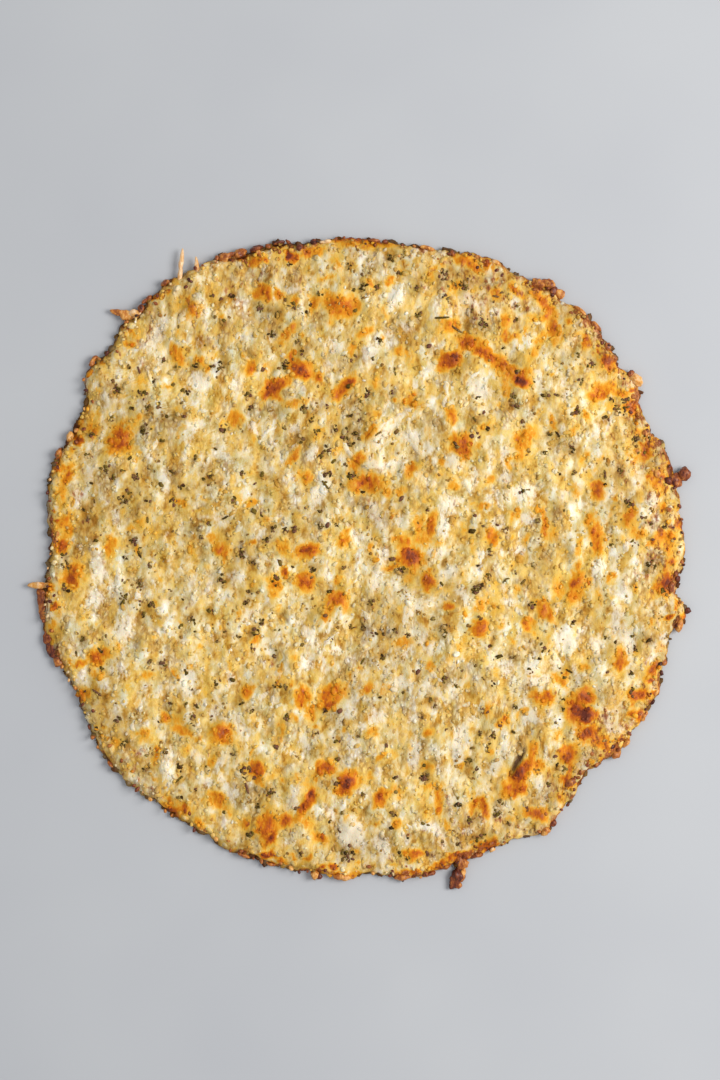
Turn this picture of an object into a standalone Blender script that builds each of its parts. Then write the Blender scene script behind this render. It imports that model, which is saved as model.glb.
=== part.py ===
"""A baked cauliflower crust pizza: one flat, round, craggy disc of riced cauliflower and cheese.

Lengths are in metres through MM, and angles in degrees, counted from +X towards +Y. The origin is
the middle of the flat underside, +Z is up, and the browned cheese side faces up.
"""

import math
import random

import bmesh
import bpy
from mathutils import Matrix, Vector, noise

MM = 0.001

# Driving sizes of the crust
PLAIN_RADIUS = 139.6 * MM
MIDDLE_THICKNESS = 6.6 * MM
EDGE_THICKNESS = 4.7 * MM
THINNING_STARTS = 0.72

# Each swell or dip of the edge: its middle angle, how far it reaches each way, and how far it stands out
EDGE_SWELLS = (
    (26, 7, -3.4 * MM),
    (33, 4, 1.8 * MM),
    (37, 3, -1.4 * MM),
    (46, 13, 3.4 * MM),
    (55.5, 4, 2.4 * MM),
    (59, 4, 1.6 * MM),
    (67, 9, 2.4 * MM),
    (82, 11, -1.7 * MM),
    (107, 9, 3.6 * MM),
    (115, 6, 3.2 * MM),
    (118, 6, 4.2 * MM),
    (123, 6, 1.4 * MM),
    (128, 13, 8.0 * MM),
    (138, 8, 5.2 * MM),
    (145.5, 6, 6.6 * MM),
    (164, 7, 2.8 * MM),
    (178, 7, -2.6 * MM),
    (192, 10, 3.4 * MM),
    (220, 17, 3.0 * MM),
    (271.5, 5, -2.4 * MM),
    (280, 4, 1.4 * MM),
    (292, 9, -1.4 * MM),
    (304, 4, 3.4 * MM),
    (316, 8, -4.4 * MM),
    (334, 8, 1.2 * MM),
    (344, 6, -1.8 * MM),
    (350, 4, 2.8 * MM),
    (354.5, 4, -3.0 * MM),
)

# The ragged edge between the swells: size of a rag along the edge, and how far it stands out
RAGS = ((11 * MM, 0.7 * MM), (5 * MM, 0.5 * MM))

# Relief of the top: width of a lump, and how high it stands
TOP_LUMPS = ((55 * MM, 0.5 * MM), (17 * MM, 0.6 * MM), (9 * MM, 1.0 * MM))

# How far in from the outline the top starts to round over
TOP_INSET = 4.8 * MM

# The rounded edge, from the top down: how far in from the outline, and the share of the edge's height
EDGE_ROUNDING = ((2.4 * MM, 0.90), (0.7 * MM, 0.66), (0.0, 0.36), (0.5 * MM, 0.12))
UNDERSIDE_INSET = 1.3 * MM

# How finely the top is divided across
TOP_DIVISIONS = 54

# Melted cheese that stands above the crumb: x, y, length, width and turn of each patch or strand
CHEESE = (
    (-6.1 * MM, -119.0 * MM, 17.0 * MM, 14.0 * MM, 35),
    (13.5 * MM, 113.0 * MM, 20.0 * MM, 8.0 * MM, 62),
    (6.5 * MM, 57.5 * MM, 24.0 * MM, 7.5 * MM, 38),
    (22.0 * MM, 51.0 * MM, 22.0 * MM, 7.5 * MM, -70),
    (-2.5 * MM, 44.0 * MM, 20.0 * MM, 7.5 * MM, -38),
    (39.6 * MM, 42.0 * MM, 14.0 * MM, 12.0 * MM, 20),
    (2.2 * MM, 88.5 * MM, 12.0 * MM, 9.0 * MM, 80),
    (-76.0 * MM, 107.0 * MM, 19.0 * MM, 8.0 * MM, 50),
    (-92.2 * MM, 92.0 * MM, 14.0 * MM, 10.0 * MM, -30),
    (-49.6 * MM, 56.3 * MM, 16.0 * MM, 8.0 * MM, -60),
    (-86.5 * MM, -89.8 * MM, 20.0 * MM, 9.0 * MM, 84),
    (-61.7 * MM, -82.8 * MM, 15.0 * MM, 9.0 * MM, 40),
    (76.5 * MM, -97.2 * MM, 22.0 * MM, 13.0 * MM, -35),
    (41.7 * MM, -84.1 * MM, 14.0 * MM, 9.0 * MM, 70),
    (108.3 * MM, -70.2 * MM, 16.0 * MM, 9.0 * MM, 55),
    (102.2 * MM, -4.6 * MM, 24.0 * MM, 7.5 * MM, 86),
    (125.7 * MM, 26.7 * MM, 14.0 * MM, 9.0 * MM, -75),
    (18.3 * MM, -23.7 * MM, 18.0 * MM, 7.5 * MM, 75),
)
CHEESE_HEIGHT = 1.1 * MM

# Blisters of browned cheese: x, y, length, width and turn of each
BLISTERS = (
    (-80.4 * MM, 88.5 * MM, 13.0 * MM, 11.0 * MM, 100),
    (-10.9 * MM, 112.4 * MM, 14.0 * MM, 12.0 * MM, 0),
    (-27.0 * MM, 82.0 * MM, 12.0 * MM, 10.0 * MM, 25),
    (43.0 * MM, 50.2 * MM, 13.0 * MM, 12.0 * MM, 0),
    (-106.1 * MM, 52.4 * MM, 13.0 * MM, 12.0 * MM, 45),
    (-26.1 * MM, -9.3 * MM, 13.0 * MM, 11.0 * MM, 150),
    (-37.8 * MM, -16.7 * MM, 17.0 * MM, 11.0 * MM, 80),
    (19.6 * MM, -1.5 * MM, 12.0 * MM, 11.0 * MM, 0),
    (50.0 * MM, -30.7 * MM, 12.0 * MM, 11.0 * MM, 0),
    (-14.3 * MM, -60.7 * MM, 17.0 * MM, 13.0 * MM, 15),
    (-43.0 * MM, -117.6 * MM, 15.0 * MM, 13.0 * MM, 60),
    (-63.5 * MM, -75.9 * MM, 12.0 * MM, 10.0 * MM, 30),
    (-7.4 * MM, -97.2 * MM, 12.0 * MM, 10.0 * MM, 120),
    (91.7 * MM, -11.5 * MM, 16.0 * MM, 12.0 * MM, 30),
    (98.7 * MM, -66.7 * MM, 18.0 * MM, 14.0 * MM, 70),
    (70.9 * MM, 55.0 * MM, 16.0 * MM, 9.0 * MM, 80),
)
BLISTER_HEIGHT = 1.2 * MM

# What sticks out past the edge: x, y, height of its middle, length, width, thickness and turn
EDGE_BITS = (
    (-79.8 * MM, 126.3 * MM, 3.2 * MM, 17.5 * MM, 2.4 * MM, 1.8 * MM, 84),
    (-72.4 * MM, 125.8 * MM, 3.0 * MM, 12.0 * MM, 2.2 * MM, 1.8 * MM, 98),
    (-103.2 * MM, 105.4 * MM, 2.4 * MM, 19.0 * MM, 5.4 * MM, 2.6 * MM, 163),
    (-140.2 * MM, -11.6 * MM, 2.9 * MM, 12.0 * MM, 2.9 * MM, 2.2 * MM, 0),
    (-140.0 * MM, -19.5 * MM, 1.7 * MM, 15.0 * MM, 6.0 * MM, 2.2 * MM, 92),
    (-134.8 * MM, -40.0 * MM, 1.8 * MM, 15.0 * MM, 6.0 * MM, 2.4 * MM, 105),
    (137.6 * MM, 34.8 * MM, 2.8 * MM, 9.5 * MM, 5.6 * MM, 3.8 * MM, 40),
    (40.8 * MM, -136.6 * MM, 2.6 * MM, 16.5 * MM, 6.6 * MM, 4.0 * MM, 97),
    (82.6 * MM, 117.4 * MM, 2.6 * MM, 12.0 * MM, 5.0 * MM, 3.4 * MM, -40),
    (-57.5 * MM, 132.0 * MM, 2.6 * MM, 12.0 * MM, 5.0 * MM, 2.8 * MM, 20),
)
EDGE_BIT_CRAGS = 0.35
BIT_CRAGS_ACROSS = 3.3

# Dried herb flakes on the top
FLAKES = 60
FLAKE_LENGTHS = (3.6 * MM, 2.0 * MM)
FLAKE_WIDTH_SHARE = 0.5
FLAKE_HEIGHT = 1.3 * MM
FLAKE_CLEAR_OF_EDGE = 9 * MM
FLAKE_SEED = 11

# A point of the noise that no two patterns share
NOISE_STEP = 7.31

GOLDEN_ANGLE = 180 * (3 - math.sqrt(5))

# How often a lump's 20 first faces are split, plus one
FLAKE_FACETS = 1
LUMP_FACETS = 2

SHARP_ANGLE = math.radians(50)


def srgb(code):
    """A linear colour from an sRGB hex code such as 'dcb670'."""
    channels = [int(code[i : i + 2], 16) / 255 for i in (0, 2, 4)]
    return [c / 12.92 if c <= 0.04045 else ((c + 0.055) / 1.055) ** 2.4 for c in channels] + [1.0]


def baked_material(name, code, roughness):
    material = bpy.data.materials.new(name)
    material.use_nodes = True
    shader = material.node_tree.nodes["Principled BSDF"]
    shader.inputs["Base Color"].default_value = srgb(code)
    shader.inputs["Roughness"].default_value = roughness
    shader.inputs["Metallic"].default_value = 0.0
    return material


def waves(x, y, layers, first):
    """Sum of smooth random bumps, each layer a (width, height) pair."""
    total = 0.0
    for number, (width, height) in enumerate(layers, first):
        total += height * noise.noise(Vector((x / width, y / width, number * NOISE_STEP)))
    return total


def outline_radius(angle):
    """How far the edge lies from the middle, towards an angle."""
    radius = PLAIN_RADIUS
    for middle, reach, rise in EDGE_SWELLS:
        away = abs((angle - middle + 180) % 360 - 180) / reach
        if away < 1:
            radius += rise * 0.5 * (1 + math.cos(math.pi * away))
    x = PLAIN_RADIUS * math.cos(math.radians(angle))
    y = PLAIN_RADIUS * math.sin(math.radians(angle))
    return radius + waves(x, y, RAGS, 10)


def angle_of(x, y):
    return math.degrees(math.atan2(y, x))


def mound(x, y, patch):
    """A smooth oval swelling, 1 at the middle of the patch and 0 at its edge."""
    middle_x, middle_y, length, width, turn = patch
    along = Vector((x - middle_x, y - middle_y))
    along.rotate(Matrix.Rotation(math.radians(-turn), 2))
    away = (2 * along.x / length) ** 2 + (2 * along.y / width) ** 2
    return (1 - away) ** 2 if away < 1 else 0.0


def top_height(x, y):
    """Height of the craggy top above the underside."""
    share = math.hypot(x, y) / outline_radius(angle_of(x, y))
    thinning = max(0.0, (share - THINNING_STARTS) / (1 - THINNING_STARTS))
    plain = MIDDLE_THICKNESS + (EDGE_THICKNESS - MIDDLE_THICKNESS) * thinning**2
    melted = CHEESE_HEIGHT * max(mound(x, y, patch) for patch in CHEESE)
    risen = BLISTER_HEIGHT * max(mound(x, y, patch) for patch in BLISTERS)
    return plain + waves(x, y, TOP_LUMPS, 1) + max(melted, risen)


def square_to_disc(a, b):
    """A point of the square from -1 to 1 moved onto the unit disc, with even spacing."""
    if a == 0 and b == 0:
        return 0.0, 0.0
    if abs(a) > abs(b):
        return a, 45 * b / a
    return b, 90 - 45 * a / b


def crust(collection):
    """The disc: a grid pressed into the outline, rounded over its edge and closed by a flat underside."""
    bm = bmesh.new()
    bmesh.ops.create_grid(bm, x_segments=TOP_DIVISIONS, y_segments=TOP_DIVISIONS, size=1)
    for vert in bm.verts:
        reach, turn = square_to_disc(vert.co.x, vert.co.y)
        way = Vector((math.cos(math.radians(turn)), math.sin(math.radians(turn))))
        edge = outline_radius(angle_of(way.x * reach, way.y * reach)) - TOP_INSET
        x, y = way * reach * edge
        vert.co = (x, y, top_height(x, y))

    border = [edge for edge in bm.edges if edge.is_boundary]
    for inset, share in EDGE_ROUNDING + ((UNDERSIDE_INSET, 0.0),):
        made = bmesh.ops.extrude_edge_only(bm, edges=border)["geom"]
        border = [item for item in made if isinstance(item, bmesh.types.BMEdge)]
        for vert in (item for item in made if isinstance(item, bmesh.types.BMVert)):
            angle = angle_of(vert.co.x, vert.co.y)
            radius = outline_radius(angle) - inset
            x = radius * math.cos(math.radians(angle))
            y = radius * math.sin(math.radians(angle))
            vert.co = (x, y, share * top_height(x, y))
    bmesh.ops.contextual_create(bm, geom=border)
    bmesh.ops.recalc_face_normals(bm, faces=bm.faces)
    return link_mesh(bm, "cauliflower_crust", collection)


def link_mesh(bm, name, collection):
    mesh = bpy.data.meshes.new(name)
    bm.to_mesh(mesh)
    bm.free()
    mesh.shade_smooth()
    mesh.set_sharp_from_angle(angle=SHARP_ANGLE)
    obj = bpy.data.objects.new(name, mesh)
    collection.objects.link(obj)
    return obj


def bit(name, middle, sides, turn, collection, crags=0.0, facets=LUMP_FACETS):
    """A rounded lump with the given sides, turned about Z and set down at its middle."""
    bm = bmesh.new()
    bmesh.ops.create_icosphere(bm, subdivisions=facets, radius=0.5)
    for vert in bm.verts:
        vert.co *= 1 + crags * noise.noise(vert.co * BIT_CRAGS_ACROSS + Vector(middle) / MM)
    bmesh.ops.scale(bm, vec=sides, verts=bm.verts)
    bmesh.ops.rotate(bm, matrix=Matrix.Rotation(math.radians(turn), 3, "Z"), verts=bm.verts)
    bmesh.ops.translate(bm, vec=middle, verts=bm.verts)
    return link_mesh(bm, name, collection)


def edge_bits(collection):
    """Strands, spurs, ledges and burnt crumbs of cheese that ran out past the edge."""
    for number, (x, y, z, length, width, thickness, turn) in enumerate(EDGE_BITS):
        sides = (length, width, thickness)
        bit(f"edge_{number}", (x, y, z), sides, turn, collection, crags=EDGE_BIT_CRAGS)


def herb_flakes(collection):
    """Dried herb flakes, the largest first, spread evenly along a sunflower spiral."""
    draw = random.Random(FLAKE_SEED)
    longest, shortest = FLAKE_LENGTHS
    for number in range(FLAKES):
        angle = GOLDEN_ANGLE * number + draw.uniform(-9, 9)
        share = math.sqrt((number + 0.5 + draw.uniform(-0.4, 0.4)) / FLAKES)
        radius = share * (outline_radius(angle) - FLAKE_CLEAR_OF_EDGE)
        x = radius * math.cos(math.radians(angle))
        y = radius * math.sin(math.radians(angle))
        length = longest + (shortest - longest) * number / FLAKES
        sides = (length, length * FLAKE_WIDTH_SHARE, FLAKE_HEIGHT)
        z = top_height(x, y) + 0.1 * MM
        turn = draw.uniform(0, 180)
        bit(f"flake_{number}", (x, y, z), sides, turn, collection, facets=FLAKE_FACETS)


def fuse(body, extras):
    """Joins everything in a collection to the body as one solid, and removes the loose originals."""
    joint = body.modifiers.new("fused", "BOOLEAN")
    joint.operation = "UNION"
    joint.operand_type = "COLLECTION"
    joint.collection = extras
    graph = bpy.context.evaluated_depsgraph_get()
    fused = bpy.data.meshes.new_from_object(body.evaluated_get(graph))
    body.modifiers.remove(joint)
    body.data = fused
    body.data.shade_smooth()
    body.data.set_sharp_from_angle(angle=SHARP_ANGLE)
    for obj in list(extras.objects):
        bpy.data.objects.remove(obj)
    bpy.data.collections.remove(extras)


def new_collection(name):
    collection = bpy.data.collections.new(name)
    bpy.context.scene.collection.children.link(collection)
    return collection


def main():
    for obj in list(bpy.data.objects):
        bpy.data.objects.remove(obj)
    pizza = new_collection("cauliflower_crust_pizza")
    extras = new_collection("toppings_to_fuse")
    body = crust(pizza)
    edge_bits(extras)
    herb_flakes(extras)
    fuse(body, extras)
    body.data.materials.clear()
    body.data.materials.append(baked_material("baked_cauliflower_and_cheese", "dcb670", 0.5))


main()
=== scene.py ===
import math
import random

import bmesh
import bpy
import numpy as np
from mathutils import Matrix, Vector, noise


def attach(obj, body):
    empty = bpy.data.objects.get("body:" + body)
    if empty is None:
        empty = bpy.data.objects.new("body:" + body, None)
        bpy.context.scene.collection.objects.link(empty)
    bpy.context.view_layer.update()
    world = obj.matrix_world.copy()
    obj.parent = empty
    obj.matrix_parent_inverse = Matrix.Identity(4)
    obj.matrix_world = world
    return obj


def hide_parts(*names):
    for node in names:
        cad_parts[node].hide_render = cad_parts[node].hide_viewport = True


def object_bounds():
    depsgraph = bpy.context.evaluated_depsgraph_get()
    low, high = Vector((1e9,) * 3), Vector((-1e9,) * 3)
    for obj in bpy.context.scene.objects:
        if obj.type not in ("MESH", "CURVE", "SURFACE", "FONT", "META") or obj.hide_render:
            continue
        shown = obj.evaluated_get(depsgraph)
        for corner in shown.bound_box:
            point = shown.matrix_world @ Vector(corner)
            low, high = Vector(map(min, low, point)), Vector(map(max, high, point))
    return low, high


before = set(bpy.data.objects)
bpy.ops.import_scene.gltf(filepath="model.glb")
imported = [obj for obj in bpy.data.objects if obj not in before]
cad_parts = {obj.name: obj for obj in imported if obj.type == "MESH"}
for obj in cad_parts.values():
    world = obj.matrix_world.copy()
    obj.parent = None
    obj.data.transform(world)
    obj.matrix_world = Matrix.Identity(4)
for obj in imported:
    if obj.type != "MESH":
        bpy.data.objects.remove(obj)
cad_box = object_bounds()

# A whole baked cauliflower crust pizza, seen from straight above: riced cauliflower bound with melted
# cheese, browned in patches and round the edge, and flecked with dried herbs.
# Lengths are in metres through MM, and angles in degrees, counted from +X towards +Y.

MM = 0.001
GOLDEN_ANGLE = 180 * (3 - math.sqrt(5))

# Sizes of the crust, the same as the solid's
PLAIN_RADIUS = 139.6 * MM
MIDDLE_THICKNESS = 6.6 * MM
EDGE_THICKNESS = 4.7 * MM
THINNING_STARTS = 0.72
TOP_INSET = 4.8 * MM
# Each lump, rag and crag has its own layer of noise, a step from the next and counted from these
NOISE_STEP = 7.31
FIRST_LUMP, FIRST_RAG, FIRST_CRAG = 1, 10, 30
RAGS = ((11 * MM, 0.7 * MM), (5 * MM, 0.5 * MM))
TOP_LUMPS = ((55 * MM, 0.5 * MM), (17 * MM, 0.6 * MM), (9 * MM, 1.0 * MM))

# Each swell or dip of the edge: its middle angle, how far it reaches each way, and how far it stands out
EDGE_SWELLS = (
    (26, 7, -3.4 * MM),
    (33, 4, 1.8 * MM),
    (37, 3, -1.4 * MM),
    (46, 13, 3.4 * MM),
    (55.5, 4, 2.4 * MM),
    (59, 4, 1.6 * MM),
    (67, 9, 2.4 * MM),
    (82, 11, -1.7 * MM),
    (107, 9, 3.6 * MM),
    (115, 6, 3.2 * MM),
    (118, 6, 4.2 * MM),
    (123, 6, 1.4 * MM),
    (128, 13, 8.0 * MM),
    (138, 8, 5.2 * MM),
    (145.5, 6, 6.6 * MM),
    (164, 7, 2.8 * MM),
    (178, 7, -2.6 * MM),
    (192, 10, 3.4 * MM),
    (220, 17, 3.0 * MM),
    (271.5, 5, -2.4 * MM),
    (280, 4, 1.4 * MM),
    (292, 9, -1.4 * MM),
    (304, 4, 3.4 * MM),
    (316, 8, -4.4 * MM),
    (334, 8, 1.2 * MM),
    (344, 6, -1.8 * MM),
    (350, 4, 2.8 * MM),
    (354.5, 4, -3.0 * MM),
)

# Melted cheese that stands above the crumb, in mm: x, y, length, width and turn
CHEESE = (
    (-6.1, -119.0, 17.0, 14.0, 35),
    (13.5, 113.0, 20.0, 8.0, 62),
    (6.5, 57.5, 24.0, 7.5, 38),
    (22.0, 51.0, 22.0, 7.5, -70),
    (-2.5, 44.0, 20.0, 7.5, -38),
    (39.6, 42.0, 14.0, 12.0, 20),
    (2.2, 88.5, 12.0, 9.0, 80),
    (-76.0, 107.0, 19.0, 8.0, 50),
    (-92.2, 92.0, 14.0, 10.0, -30),
    (-49.6, 56.3, 16.0, 8.0, -60),
    (-86.5, -89.8, 20.0, 9.0, 84),
    (-61.7, -82.8, 15.0, 9.0, 40),
    (76.5, -97.2, 22.0, 13.0, -35),
    (41.7, -84.1, 14.0, 9.0, 70),
    (108.3, -70.2, 16.0, 9.0, 55),
    (102.2, -4.6, 24.0, 7.5, 86),
    (125.7, 26.7, 14.0, 9.0, -75),
    (18.3, -23.7, 18.0, 7.5, 75),
)
CHEESE_HEIGHT = 1.1 * MM

# Blisters of browned cheese, in mm: x, y, length, width and turn
BLISTERS = (
    (-80.4, 88.5, 13.0, 11.0, 100),
    (-10.9, 112.4, 14.0, 12.0, 0),
    (-27.0, 82.0, 12.0, 10.0, 25),
    (43.0, 50.2, 13.0, 12.0, 0),
    (-106.1, 52.4, 13.0, 12.0, 45),
    (-26.1, -9.3, 13.0, 11.0, 150),
    (-37.8, -16.7, 17.0, 11.0, 80),
    (19.6, -1.5, 12.0, 11.0, 0),
    (50.0, -30.7, 12.0, 11.0, 0),
    (-14.3, -60.7, 17.0, 13.0, 15),
    (-43.0, -117.6, 15.0, 13.0, 60),
    (-63.5, -75.9, 12.0, 10.0, 30),
    (-7.4, -97.2, 12.0, 10.0, 120),
    (91.7, -11.5, 16.0, 12.0, 30),
    (98.7, -66.7, 18.0, 14.0, 70),
    (70.9, 55.0, 16.0, 9.0, 80),
)
BLISTER_HEIGHT = 1.2 * MM

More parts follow.
